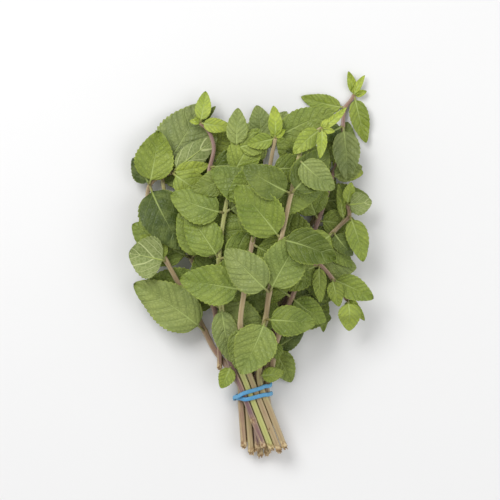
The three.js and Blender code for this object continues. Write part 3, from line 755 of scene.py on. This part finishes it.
def blade(bm, leaf):
    """One leaf blade: a thin closed shell with teeth, veins and a waved edge."""
    _, place, look = layers(bm)
    placed = grid(bm, COLUMNS, ROWS_PER_TOOTH * leaf.teeth)
    for vert, over, along in placed:
        across = sin((2 * over - 1) * pi * EDGE_SQUEEZE) / sin(pi * EDGE_SQUEEZE)
        share = lerp(BLADE_START, 1, along)
        half = half_width(leaf, share, TIP_FULLNESS) * smoothstep(along, 0, BASE_ROUNDING)
        if along > TIP_ROW:
            half = 0
        tooth = 1 - (along * leaf.teeth) % 1
        toothed = smoothstep(along, *TOOTHED_FROM) * (1 - TEETH_LOST * smoothstep(along, *TOOTHED_TO))
        width = half * (1 - TOOTH_DEPTH * tooth * abs(across) ** TOOTH_SHARPNESS * toothed)
        x, y = leaf_plan(leaf, share, across, width)
        vein = side_vein(leaf, share, across, half)
        z = blade_height(leaf, min(1, share), across) + relief(leaf, share, along, across, half, vein)
        vert.co = (x, y, max(z, THICKNESS))
        vert[place] = (across * half, share, vein)
        vert[look] = (leaf.tone, leaf.youth, abs(across))
    verts = [vert for vert, _, _ in placed]
    under = faces_round(verts)
    bmesh.ops.remove_doubles(bm, verts=verts, dist=MERGE)
    verts = [vert for vert in verts if vert.is_valid]
    under = [face for face in under if face.is_valid]
    over = bmesh.ops.extrude_face_region(bm, geom=under, use_keep_orig=True)["geom"]
    upper_verts = [item for item in over if isinstance(item, bmesh.types.BMVert)]
    upper_faces = [item for item in over if isinstance(item, bmesh.types.BMFace)]
    bmesh.ops.translate(bm, verts=upper_verts, vec=(0, 0, THICKNESS / 2))
    bmesh.ops.translate(bm, verts=verts, vec=(0, 0, -THICKNESS / 2))
    bmesh.ops.reverse_faces(bm, faces=under)
    for face in faces_round(upper_verts) + under:
        face.smooth = True
        face.material_index = 0
    for face in (upper_faces if leaf.turned else under):
        face.material_index = 1


STALK_STEPS, STALK_SIDES = 18, 8
RIB_START, RIB_END = 0.1, 0.9           # shares of the length between which the rib thins out
RIB_THINNING = 0.7                      # under 1 it thins sooner
STALK_RADIUS, RIB_RADIUS, RIB_TIP_RADIUS = 0.8, 0.55, 0.1
STALK_NARROWS = 0.16                    # share of the length by which the stalk is as thin as the rib
SMALLEST_STALK = 0.65                   # share of these radii on the smallest leaf
RIB_OUT = 0.8                           # share of its radius by which the rib stands out


def stalk(bm, leaf):
    """The leaf's stalk, which goes on as the rib along the blade's underside."""
    _, place, look = layers(bm)
    size = leaf.length / LARGE_LEAF
    sign = 1 if leaf.turned else -1
    path, radii = [], []
    for step in range(STALK_STEPS + 1):
        share = RIB_END * step / STALK_STEPS
        x, y = leaf_plan(leaf, share, 0, 0)
        radius = lerp(STALK_RADIUS, RIB_RADIUS, smoothstep(share, 0, STALK_NARROWS))
        thinned = smoothstep(share, RIB_START, RIB_END) ** RIB_THINNING
        radius = lerp(radius, RIB_TIP_RADIUS, thinned) * lerp(SMALLEST_STALK, 1, min(1, size))
        mid = smooth_height(leaf, share, 1)
        if share > BLADE_START:
            along = (share - BLADE_START) / (1 - BLADE_START)
            half = half_width(leaf, share, TIP_FULLNESS)
            mid += relief(leaf, share, along, 0, half, 0) + sign * radius * RIB_OUT
        path.append(Vector((x, y, max(mid, radius))))
        radii.append(radius)
    for face in tube(bm, path, radii, STALK_SIDES)[0]:
        face.material_index = 2
        for vert in face.verts:
            vert[look] = (leaf.tone, leaf.youth, 0)
            vert[place] = (0, hypot(vert.co.x - leaf.x, vert.co.y - leaf.y) / leaf.length, 0)


def dress_leaf(leaf, stem_name, index):
    """Settles what shows on one leaf and moves nothing below it."""
    vary = looks.uniform
    leaf.slopes = [station_slopes(leaf.net, column) for column in range(3)]
    leaf.open = open_table(leaf)
    mean = sum(map(sum, leaf.open)) / ((OPEN_ROWS + 1) * (OPEN_COLUMNS + 1))
    airy = smoothstep(mean, OPEN_FROM, 1)
    leaf.turned = (stem_name, index) in TURNED
    leaf.teeth = round(TEETH[0] + TEETH[1] * leaf.length)
    leaf.veins = TURNED_VEINS if leaf.turned else round(VEINS[0] + VEINS[1] * leaf.length)
    leaf.lean = TURNED_LEAN if leaf.turned else VEIN_LEAN
    leaf.quilt, leaf.wave, leaf.waves = vary(*QUILT), vary(*WAVE), vary(*WAVES)
    leaf.phases = (vary(*PHASE), vary(*PHASE))
    fold = vary(*FOLDED) * airy
    leaf.folds = (fold + vary(*UNEVEN_FOLD), fold + vary(*UNEVEN_FOLD))
    leaf.arch = vary(*ARCH) * lerp(HELD_SHARE, 1, airy) if fold < HARDLY_FOLDED else 0
    leaf.tip_lift = vary(*TIP_LIFT) * airy
    leaf.sway = vary(*SWAY) * lerp(HELD_SHARE, 1, airy)
    young = YOUTH_BY_PAIRS_ABOVE.get(leaf.to_tip, YOUTH_LOWER)
    young *= lerp(*YOUTH_BY_LENGTH[:2], leaf.length / YOUTH_BY_LENGTH[2])
    youth = min(1, young + vary(*YOUTH))
    leaf.tone, leaf.youth = LEAF_LOOKS.get(stem_name, {}).get(index, (vary(*TONE), youth))
    leaf.quilt *= 1 - QUILT_LOST * leaf.youth


BUDS = [(-38, 7.0), (32, 6.0), (-4, 4.5)]        # turn from the stem's heading, and length
BUD_BREADTH, BUD_RISE, BUD_FOLD = 0.85, (0.3, 0.6), 0.35


def bud_leaves(samples):
    """The tiny leaves that close a growing tip."""
    tip, before = samples[-1], samples[-3]
    heading = degrees(atan2(tip.y - before.y, tip.x - before.x))
    buds = []
    for turn, length in BUDS:
        leaf = Leaf(tip, 1, heading + turn, length, BUD_BREADTH)
        leaf.rise, leaf.fold, leaf.to_tip = looks.uniform(*BUD_RISE), BUD_FOLD, 0
        leaf.net = free_heights(leaf)
        dress_leaf(leaf, None, None)
        leaf.tone, leaf.youth = 0, 1
        buds.append(leaf)
    return buds


# ---- Whole stems ----

def new_bmesh():
    bm = bmesh.new()
    for name in LAYERS:
        bm.verts.layers.float_vector.new(name)
    return bm


def add_object(name, data):
    added = bpy.data.objects.new(name, data)
    bpy.context.scene.collection.objects.link(added)
    return added


def mesh_object(name, bm, materials):
    mesh = bpy.data.meshes.new(name)
    bm.to_mesh(mesh)
    bm.free()
    for material in materials:
        mesh.materials.append(material)
    return add_object(name, mesh)


def finish_piece(name, bm, materials, node):
    """Places the piece in the frame, turns its faces outwards, hangs it from the root and hides the CAD
    part that it stands for.
    """
    bmesh.ops.transform(bm, matrix=INTO_FRAME, verts=bm.verts)
    bmesh.ops.recalc_face_normals(bm, faces=bm.faces)
    piece = mesh_object(name, bm, materials)
    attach(piece, "root")
    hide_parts(node)


def leaves_piece(stem):
    bm = new_bmesh()
    for index, leaf in enumerate(stem["leaves"]):
        dress_leaf(leaf, stem["name"], index)
    for leaf in stem["leaves"] + bud_leaves(stem["samples"]):
        blade(bm, leaf)
        stalk(bm, leaf)
    materials = [leaf_upper, leaf_under, leaf_stalk]
    finish_piece(stem["name"] + "_leaves", bm, materials, stem["name"])


STEM_FULLNESS = 1.1         # stems are this much stouter than the layout's tubes
STEM_TUBE_SIDES = 16
STEM_SQUARE = 0.09          # how far the four corners stand out
CUT_FLARE = 0.14            # how much wider a stem is at its cut end
NODE_SWELL, NODE_REACH = 0.16, 1.6
STEM_HUES = {               # 0 purple, 0.35 pink-brown, 0.7 straw, 1 yellow-green
    "under_left": 0.8, "under_centre": 0.3, "under_right": 0.7, "under_corner": 0.9,
    "middle_far_left": 0.45, "middle_left": 0.7, "middle_right": 0.1, "middle_far_right": 0.5,
    "middle_corner": 0.35, "loose_stem": 0.38, "top_left": 0.06, "top_centre": 0.98,
    "top_right": 0.55, "top_far_right": 0.62}
AGEING_LENGTH = 180         # a stem's colour changes from its foot on over this length

LEAF_SCARS = {"top_left": [(1.0, -82)], "top_right": [(6.5, -88)]}     # where lower leaves were
SCAR_SPIKES, SCAR_RADIUS, SCAR_SIDES = 6, 0.3, 5
SCAR_LENGTH, SCAR_DEPTH = (0.8, 1.5), 0.8
SCAR_LEAN = [(-1, 1), (-1, 0.3), (0.5, 1.2)]
SCAR_SPREAD = 4             # how wide the colour round a scar fades

CUT_RINGS = [(0.3, 0), (0.45, -0.25)]   # how far inwards and how deep the cut end steps
CUT_ROUGHNESS = (-0.35, 0.45)
SHARDS, SHARD_SIDES = 9, 6  # torn fibres at a cut end
SHARD_FOOT, SHARD_DEPTH = (0.1, 0.7), 0.6
SHARD_LEAN, SHARD_SLANT = [(-1, 1), (-1, 1), (0, 1)], 0.3
SHARD_LENGTH, SHARD_RADIUS = (1.0, 2.2), (0.3, 0.55)
SPIKE_TIP = 0.4             # share of its radius that a spike keeps at its tip

HAIRS_PER_STEM, HAIR_SIDES = 130, 3
HAIR_LENGTH, HAIR_RADIUS, HAIR_DEPTH = 0.7, 0.045, 0.95
HAIRS_TO_TIP = 0.5          # under 1 there are more hairs nearer the tip


def scattered(ranges):
    return Vector([looks.uniform(*limits) for limits in ranges])


def spike(bm, foot, direction, length, radius, sides):
    """A fine cone that stands on a surface. Returns its faces."""
    turn = Vector((0, 0, 1)).rotation_difference(direction).to_matrix().to_4x4()
    place = Matrix.Translation(foot + direction.normalized() * length / 2) @ turn
    made = bmesh.ops.create_cone(bm, cap_ends=True, segments=sides, radius1=radius,
                                 radius2=radius * SPIKE_TIP, depth=length, matrix=place)["verts"]
    return {face for vert in made for face in vert.link_faces}


def torn_end(bm, cap, path):
    """Roughens the cut end of a stem, with a few fibres left standing."""
    outward = (path[0] - path[1]).normalized()
    rings = [list(cap.verts)]
    for inwards, depth in CUT_RINGS:
        bmesh.ops.inset_region(bm, faces=[cap], thickness=inwards, depth=depth)
        rings.append(list(cap.verts))
    ring, inner, _ = rings
    bmesh.ops.poke(bm, faces=[cap])
    for vert in ring + inner:
        vert.co += outward * looks.uniform(*CUT_ROUGHNESS)
    cut = {face for vert in inner for edge in vert.link_edges for face in edge.link_faces}
    for _ in range(SHARDS):
        rim = looks.choice(ring).co.lerp(path[0], looks.uniform(*SHARD_FOOT))
        lean = scattered(SHARD_LEAN) * SHARD_SLANT
        length = looks.uniform(*SHARD_LENGTH)
        foot = rim - outward * SHARD_DEPTH
        cut |= spike(bm, foot, outward + lean, length, looks.uniform(*SHARD_RADIUS), SHARD_SIDES)
    return cut


def stem_path(samples, nodes):
    """The middle line of a stem and its radii, swollen where leaves grow."""
    curve = Curve([(sample.x, sample.y, sample.z) for sample in samples])
    path, radii = [], []
    for step, (x, y, z) in enumerate(curve.spaced(2 * (len(samples) - 1))):
        away = min(hypot(x - node_x, y - node_y) for node_x, node_y in nodes)
        wider = 1 + CUT_FLARE * exp(-step) + NODE_SWELL * exp(-(away / NODE_REACH) ** 2)
        radii.append(STEM_FULLNESS * samples[min(len(samples) - 1, round(step / 2))].radius * wider)
        path.append(Vector((x, y, max(z, radii[-1] * (1 + STEM_SQUARE)))))
    return path, radii


def grow_hairs(bm, path, radii):
    for _ in range(HAIRS_PER_STEM):
        step = 1 + int((len(path) - 2) * looks.uniform(0, 1) ** HAIRS_TO_TIP)
        angle = looks.uniform(0, 2 * pi)
        side, up = level_frames(path[step - 1:step + 2])[1]
        out = side * cos(angle) + up * sin(angle)
        foot = path[step] + out * radii[step] * HAIR_DEPTH
        if foot.z + HAIR_LENGTH * out.z > HAIR_RADIUS:
            spike(bm, foot, out, HAIR_LENGTH, HAIR_RADIUS, HAIR_SIDES)


def stem_piece(stem):
    name = stem["name"]
    bm = new_bmesh()
    place, _, look = layers(bm)
    scars = LEAF_SCARS.get(name, [])
    path, radii = stem_path(stem["samples"], [(leaf.x, leaf.y) for leaf in stem["leaves"]] + scars)
    _, caps = tube(bm, path, radii, STEM_TUBE_SIDES, square=STEM_SQUARE)
    root = min(caps, key=lambda face: (face.calc_center_median() - path[0]).length)
    rough = set(caps)
    for x, y in scars:
        middle = min(path, key=lambda point: hypot(point.x - x, point.y - y))
        for _ in range(SCAR_SPIKES):
            lean = scattered(SCAR_LEAN)
            foot = middle + lean.normalized() * radii[0] * SCAR_DEPTH
            rough |= spike(bm, foot, lean, looks.uniform(*SCAR_LENGTH), SCAR_RADIUS, SCAR_SIDES)
    rough |= torn_end(bm, root, path)
    grow_hairs(bm, path, radii)
    for face in rough:
        if face.is_valid:
            face.material_index = 1
    for vert in bm.verts:
        away = [(vert.co.x - x) ** 2 + (vert.co.y - y) ** 2 for x, y in scars]
        scar = exp(-min(away) / SCAR_SPREAD) if away else 0
        vert[look] = (STEM_HUES[name], vert[place][2] / AGEING_LENGTH, scar)
    finish_piece(name + "_stem", bm, [mint_stem, cut_end], name)


# ---- The rubber band ----

BAND_SAMPLES, BAND_SIDES = 240, 20
BAND_SLACK = 0.4            # air between the rubber and the layout's stems
BAND_SECTION = (1.0, 2.1)   # thickness and width of the rubber
BAND_ROUNDING = 3           # above 2 its section is squarer
BAND_SMOOTHING = 5          # rounds that take the corners out of its path
TIE = 1e-9                  # stems that reach as far as each other count as one


def band_point(angle, y, over):
    """Where the band lies in one direction round the bundle: on the stem that reaches furthest."""
    outward = (cos(angle), sin(angle))
    out = STEM_RADIUS + BAND_SLACK + BAND_SECTION[0] / 2 + over
    furthest, point = -inf, None
    for _, row, place, _, _ in STEMS:
        if place is None:
            continue
        start_x, lean, _ = ROWS[row]
        x = start_x + PLACE_PITCH * place + lean * (y - BAND_Y)
        z = FIRST_ROW_Z + ROW_PITCH * row
        reach = x * outward[0] + z * outward[1]
        if reach > furthest + TIE:
            furthest = reach
            point = (x + out * outward[0], y, z + out * outward[1])
    return point


def band_path():
    points = []
    for step in range(BAND_STEPS):
        angle = 4 * pi * step / BAND_STEPS
        rise = BAND_SLOPE * (band_point(angle, BAND_Y, 0)[0] - BUNDLE_CENTRE[0])
        apart = -BAND_SPREAD * sin((angle - BAND_CROSSING) / 2)
        away = abs(angle - BAND_CROSSING)
        lift = 1 - smoothstep(away, CROSSING_HALF, CROSSING_HALF + CROSSING_EASE)
        points.append(band_point(angle, BAND_Y + rise + apart, (BAND_SECTION[0] + GAP) * lift))
    path = [Vector(point) for point in Curve(points, closed=True).spaced(BAND_SAMPLES)][:-1]
    for _ in range(BAND_SMOOTHING):
        path = [(path[index - 1] + point * 2 + path[(index + 1) % BAND_SAMPLES]) / 4
                for index, point in enumerate(path)]
    return path


def rubber_band():
    path = band_path()
    bm = new_bmesh()
    stem_place = layers(bm)[0]
    for vert, around, along in grid(bm, BAND_SIDES, BAND_SAMPLES):
        step = round(along * BAND_SAMPLES) % BAND_SAMPLES
        tangent = (path[(step + 1) % BAND_SAMPLES] - path[step - 1]).normalized()
        out = path[step] - Vector((BUNDLE_CENTRE[0], path[step].y, BUNDLE_CENTRE[1]))
        out = (out - tangent * out.dot(tangent)).normalized()
        cosine, sine = cos(2 * pi * around), sin(2 * pi * around)
        rounding = (abs(cosine) ** BAND_ROUNDING + abs(sine) ** BAND_ROUNDING) ** (-1 / BAND_ROUNDING)
        vert.co = (path[step] + out * (BAND_SECTION[0] / 2 * rounding * cosine)
                   + tangent.cross(out) * (BAND_SECTION[1] / 2 * rounding * sine))
        vert[stem_place] = (cosine, sine, along)
    bmesh.ops.remove_doubles(bm, verts=bm.verts, dist=MERGE)
    for face in bm.faces:
        face.smooth = True
    finish_piece("band", bm, [band_rubber], "rubber_band")


# ---- Signals: what the nodes of a material pass on ----

class Signal:
    """A value out of a node. Arithmetic with it adds maths nodes."""

    def __init__(self, socket):
        self.socket, self.tree = socket, socket.id_data

    def __add__(self, other):
        return maths("ADD", self, other)

    def __sub__(self, other):
        return maths("SUBTRACT", self, other)

    def __rsub__(self, other):
        return maths("SUBTRACT", other, self)

    def __mul__(self, other):
        return maths("MULTIPLY", self, other)

    def __truediv__(self, other):
        return maths("DIVIDE", self, other)

    def __abs__(self):
        return maths("ABSOLUTE", self)


def feed(socket, value):
    """Links a signal to a socket, or sets it to a number or a colour."""
    if isinstance(value, Signal):
        value.tree.links.new(value.socket, socket)
    else:
        socket.default_value = (*value, 1) if isinstance(value, tuple) else value


def add_node(tree, kind, *values, **settings):
    """Adds a node with its settings, and feeds its first sockets."""
    node = tree.nodes.new("ShaderNode" + kind)
    for name, setting in settings.items():
        setattr(node, name, setting)
    for socket, value in zip(node.inputs, values):
        feed(socket, value)
    return node


def maths(operation, *values):
    tree = next(value.tree for value in values if isinstance(value, Signal))
    return Signal(add_node(tree, "Math", *values, operation=operation).outputs[0])


def highest(first, *others):
    for other in others:
        first = maths("MAXIMUM", first, other)
    return first


def fade(value, low, high, start=0.0, end=1.0):
    """Goes smoothly from start to end as the value goes from low to high."""
    node = add_node(value.tree, "MapRange", value, low, high, start, end, interpolation_type="SMOOTHSTEP")
    return Signal(node.outputs[0])


def mix(tree, factor, first, second, how="MIX"):
    node = add_node(tree, "Mix", factor, data_type="RGBA", blend_type=how)
    first_colour, second_colour = node.inputs[6:8]
    feed(first_colour, first)
    feed(second_colour, second)
    return Signal(node.outputs[2])


def layered(body, *coats):
    """Lays further colours over a first one, each as far as its factor says."""
    for factor, colour in coats:
        body = mix(factor.tree, factor, body, colour)
    return body


def attribute(tree, name):
    """The three parts of one of the mesh's own attributes."""
    vector = Signal(add_node(tree, "Attribute", attribute_name=name).outputs["Vector"])
    return [Signal(part) for part in add_node(tree, "SeparateXYZ", vector).outputs]


def speckle(place, scale, detail=3.0, roughness=0.5):
    node = add_node(place.tree, "TexNoise", place)
    for name, value in (("Scale", scale), ("Detail", detail), ("Roughness", roughness)):
        node.inputs[name].default_value = value
    return Signal(node.outputs["Fac"])


def object_place(tree):
    return Signal(add_node(tree, "TexCoord").outputs["Object"])


def new_material(name, roughness, specular=0.5):
    material = bpy.data.materials.new(name)
    material.use_nodes = True
    shader = material.node_tree.nodes["Principled BSDF"]
    shader.inputs["Roughness"].default_value = roughness
    shader.inputs["Specular IOR Level"].default_value = specular
    return material, material.node_tree, shader.inputs


def bump(inputs, height, strength, distance):
    node = add_node(height.tree, "Bump")
    for name, value in (("Strength", strength), ("Distance", distance), ("Height", height)):
        feed(node.inputs[name], value)
    feed(inputs["Normal"], Signal(node.outputs[0]))


# ---- Materials. Each colour is linear red, green and blue. ----

# Dark, fresh, dull and young. Dark is partly a deeper green and partly painted shade.
UPPER_TONES = ((0.06, 0.09, 0.01), (0.2, 0.268, 0.034), (0.265, 0.312, 0.105), (0.5, 0.59, 0.075))
UNDER_TONES = ((0.14, 0.175, 0.055), (0.19, 0.232, 0.075), (0.2, 0.24, 0.095), (0.3, 0.36, 0.1))
# The first colour is painted shade for the upper side's sunken veins and creases.
GROOVE_SHADE, BRIGHT_GREEN = (0.05, 0.085, 0.008), (0.33, 0.4, 0.095)
UNDER_SHADE, PATCH_TINT = (0.1, 0.15, 0.035), (0.6, 0.68, 0.6)
UPPER_VEIN, UNDER_VEIN = (0.42, 0.51, 0.16), (0.56, 0.62, 0.28)
STALK_GREEN, STALK_DULL, STALK_YOUNG = (0.26, 0.33, 0.06), (0.33, 0.39, 0.12), (0.4, 0.51, 0.08)
STALK_BROWN, STALK_PALE = (0.25, 0.15, 0.085), (0.44, 0.5, 0.2)
PURPLE, PINK_BROWN, STRAW = (0.175, 0.092, 0.105), (0.29, 0.16, 0.12), (0.4, 0.3, 0.155)
YELLOW_GREEN, STEM_STREAK = (0.43, 0.45, 0.135), (0.52, 0.43, 0.25)
# Painted shade for the sunken faces of a stem, and a painted highlight for its corners.
HOLLOW_SHADE, CORNER_HIGHLIGHT = (0.17, 0.11, 0.06), (0.56, 0.5, 0.3)
FIBRE_DARK, FIBRE_PALE = (0.23, 0.12, 0.045), (0.64, 0.5, 0.27)
CUT_DARK, CUT_PALE = (0.2, 0.1, 0.04), (0.7, 0.54, 0.3)
BAND_DEEP, BAND_BLUE, BAND_DUST = (0.06, 0.265, 0.5), (0.125, 0.38, 0.62), (0.33, 0.56, 0.8)
FLOOR_SHADES = ((0.8, 0.8, 0.8), (0.82, 0.82, 0.82))


def leaf_veins_group():
    """Where the rib, the side veins, the fine net and the bulges between veins lie."""
    tree = bpy.data.node_groups.new("leaf_veins", "ShaderNodeTree")
    for label in ("Rib", "Side Veins", "Net", "Crown", "Mottle"):
        tree.interface.new_socket(label, in_out="OUTPUT", socket_type="NodeSocketFloat")
    sideways, share, vein = attribute(tree, "leaf_place")
    place = object_place(tree)
    off_rib = abs(sideways)
    rib = fade(off_rib / (1.15 - share), 0.2, 0.75, 1, 0)
    wandering = vein + (speckle(place, scale=130, detail=2) - 0.5) * 0.4
    nearest = abs(wandering - maths("ROUND", wandering))
    side = fade(nearest, 0.01, 0.12, 1, 0) * fade(off_rib, 4.0, 13.0, 1, 0.4)
    mesh = add_node(tree, "TexVoronoi", place, feature="DISTANCE_TO_EDGE")
    mesh.inputs["Scale"].default_value = 520
    net = fade(Signal(mesh.outputs["Distance"]), 0.0, 0.25, 1, 0)
    signals = (rib, side, net, fade(nearest, 0.04, 0.42), speckle(place, scale=150, detail=4))
    for socket, value in zip(tree.nodes.new("NodeGroupOutput").inputs, signals):
        feed(socket, value)
    return tree


def leaf_signals(tree, tones):
    """A blade's colour by tone and youth, in soft patches, and where its veins lie."""
    dark, fresh, dull, young = tones
    tone, youth, rim = attribute(tree, "leaf_look")
    # Towards tone -1 the green darkens, partly a deeper green and partly painted shade.
    body = mix(tree, fade(tone, -1, 0), dark, fresh)
    body = layered(body, (fade(tone, 0, 1), dull), (youth, young))
    tinted = mix(tree, 1.0, body, PATCH_TINT, "MULTIPLY")
    patches = fade(speckle(object_place(tree), scale=65, detail=3), 0.35, 0.7, 0, 0.65)
    body = layered(body, (patches, tinted), (fade(rim, 0.86, 1, 0, 0.3), young))
    return body, youth, [Signal(part) for part in add_node(tree, "Group", node_tree=LEAF_VEINS).outputs]


def leaf_upper_material():
    """The upper side: green bulges between sunken veins, with painted shade in the veins and fine creases,
    and a paler rib near the stalk.
    """
    material, tree, inputs = new_material("leaf_upper", roughness=0.46, specular=0.4)
    body, youth, (rib, side, net, crown, mottle) = leaf_signals(tree, UPPER_TONES)
    _, share, _ = attribute(tree, "leaf_place")
    pale = highest(rib * fade(share, 0.25, 0.8, 0.62, 0.1), side * fade(youth, 0, 1, 0.16, 0.4))
    # Painted shade: darker away from the crowns of the bulges and along the fine net of creases.
    shade = (1 - crown) * 0.14 + net * 0.2
    feed(inputs["Base Color"], layered(
        body, (shade, GROOVE_SHADE), (fade(mottle, 0.4, 0.75, 0, 0.28), BRIGHT_GREEN), (pale, UPPER_VEIN)))
    feed(inputs["Roughness"], fade(mottle, 0.3, 0.7, 0.4, 0.58))
    height = crown * 0.25 - highest(rib, side, net * 0.45) + mottle * 0.9
    bump(inputs, height * fade(youth, 0, 1, 1, 0.45), strength=0.75, distance=0.0005)
    return material


def leaf_under_material():
    """The underside: paler and duller, with raised pale veins that fan out."""
    material, tree, inputs = new_material("leaf_under", roughness=0.62, specular=0.3)
    body, _, (rib, side, net, crown, mottle) = leaf_signals(tree, UNDER_TONES)
    lines = highest(rib, side, net * 0.25)
    shade = (1 - crown) * 0.2
    feed(inputs["Base Color"], layered(body, (shade, UNDER_SHADE), (lines * 0.85, UNDER_VEIN)))
    feed(inputs["Roughness"], fade(mottle, 0.3, 0.7, 0.55, 0.72))
    bump(inputs, lines + mottle * 0.5, strength=0.7, distance=0.0005)
    return material


def stalk_material():
    """Leaf stalks and ribs: brownish beside the stem, pale green further out."""
    material, tree, inputs = new_material("leaf_stalk", roughness=0.5, specular=0.4)
    tone, youth, _ = attribute(tree, "leaf_look")
    _, share, _ = attribute(tree, "leaf_place")
    grain = speckle(object_place(tree), scale=420, detail=3)
    feed(inputs["Base Color"], layered(
        mix(tree, fade(tone, -1, 1), STALK_GREEN, STALK_DULL),
        (youth, STALK_YOUNG),
        (fade(share, 0.03, 0.14, 0.65, 0), STALK_BROWN),
        (fade(grain, 0.3, 0.8, 0, 0.4), STALK_PALE)))
    bump(inputs, grain, strength=0.3, distance=0.0003)
    return material


def stem_material():
    """Square stems: purple, brown, straw or green by stem, with long fine streaks, painted shade in their
    sunken faces and a painted highlight along their corners.
    """
    material, tree, inputs = new_material("mint_stem", roughness=0.4, specular=0.5)
    hue, along, scar = attribute(tree, "leaf_look")
    cosine, sine, length = attribute(tree, "stem_place")
    place = object_place(tree)
    streaks = add_node(tree, "CombineXYZ", cosine, sine, length * 0.03)
    long_grain = speckle(Signal(streaks.outputs[0]), scale=3.0, detail=5)
    streaked = long_grain - 0.5
    shifted = hue + (speckle(place, scale=55, detail=3) - 0.5) * 0.9 + streaked * 0.7 + along * 0.15
    corner = abs(cosine * sine * 2)
    fibres = mix(tree, fade(speckle(place, scale=700, detail=3), 0.38, 0.62), FIBRE_DARK, FIBRE_PALE)
    feed(inputs["Base Color"], layered(
        mix(tree, fade(shifted, 0.0, 0.3), PURPLE, PINK_BROWN),
        (fade(shifted, 0.3, 0.65), STRAW),
        (fade(shifted, 0.7, 1.0), YELLOW_GREEN),
        (fade(long_grain, 0.5, 0.8, 0, 0.45), STEM_STREAK),
        # Painted shade in the sunken middles of the faces, and a painted highlight along the corners.
        (fade(corner, 0.0, 0.45, 0.3, 0), HOLLOW_SHADE),
        (fade(corner, 0.75, 1.0, 0, 0.35), CORNER_HIGHLIGHT),
        (scar * 0.8, fibres),
        (fade(length + streaked * -9, 0.5, 4.5, 0.9, 0), fibres)))
    bump(inputs, long_grain, strength=0.45, distance=0.0004)
    return material


def cut_material():
    material, tree, inputs = new_material("cut_end", roughness=0.8)
    grain = speckle(object_place(tree), scale=900, detail=4, roughness=0.7)
    feed(inputs["Base Color"], mix(tree, fade(grain, 0.3, 0.7), CUT_DARK, CUT_PALE))
    bump(inputs, grain, strength=0.8, distance=0.0004)
    return material


def band_material():
    material, tree, inputs = new_material("band_rubber", roughness=0.5)
    place = object_place(tree)
    cloud, dust = speckle(place, scale=60, detail=3), speckle(place, scale=1500, detail=2)
    body = mix(tree, fade(cloud, 0.3, 0.7), BAND_DEEP, BAND_BLUE)
    feed(inputs["Base Color"], layered(body, (fade(dust, 0.55, 0.8, 0, 0.35), BAND_DUST)))
    feed(inputs["Roughness"], fade(cloud, 0.3, 0.7, 0.42, 0.6))
    bump(inputs, dust, strength=0.25, distance=0.0002)
    return material


def floor_material():
    material, tree, inputs = new_material("pale_floor", roughness=0.7)
    feed(inputs["Base Color"], mix(tree, speckle(object_place(tree), scale=8, detail=2), *FLOOR_SHADES))
    return material


LEAF_VEINS = leaf_veins_group()
leaf_upper = leaf_upper_material()
leaf_under = leaf_under_material()
leaf_stalk = stalk_material()
mint_stem = stem_material()
cut_end = cut_material()
band_rubber = band_material()

for stem in laid:
    leaves_piece(stem)
    stem_piece(stem)
rubber_band()

# ---- Floor, light and camera. Lengths are metres here. ----

FLOOR_HALF = 3
LIGHTS = [                  # name, place, size and power
    ("key_light", (-0.45, 0.6, 0.9), 0.6, 8.0),
    ("fill_light", (0.75, -0.1, 0.9), 0.9, 3.6)]
WORLD_STRENGTH = 0.58
FIELD = 0.2615              # across the view at the bunch's middle height
VIEW_CENTRE_Y = 7.3         # of the layout, in millimetres
MIDDLE_HEIGHT = 0.015
CAMERA_HEIGHT = 1.3
SENSOR = 36

floor_bm = bmesh.new()
bmesh.ops.create_grid(floor_bm, x_segments=1, y_segments=1, size=FLOOR_HALF)
mesh_object("floor", floor_bm, [floor_material()])

for name, place, size, power in LIGHTS:
    light = bpy.data.lights.new(name, "AREA")
    light.size, light.energy = size, power
    lamp = add_object(name, light)
    lamp.location = place
    lamp.rotation_euler = (-Vector(place)).to_track_quat("-Z", "Y").to_euler()

scene = bpy.context.scene
scene.world = bpy.data.worlds.new("studio")
scene.world.use_nodes = True
background = scene.world.node_tree.nodes["Background"]
background.inputs["Color"].default_value = (1, 1, 1, 1)
background.inputs["Strength"].default_value = WORLD_STRENGTH
scene.view_settings.view_transform = "Standard"

camera = bpy.data.cameras.new("camera")
camera.sensor_width = SENSOR
camera.lens = SENSOR * (CAMERA_HEIGHT - MIDDLE_HEIGHT) / FIELD
scene.camera = add_object("camera", camera)
scene.camera.location = (SHIFT.x, SHIFT.y + MM * VIEW_CENTRE_Y, CAMERA_HEIGHT)

bpy.context.view_layer.update()
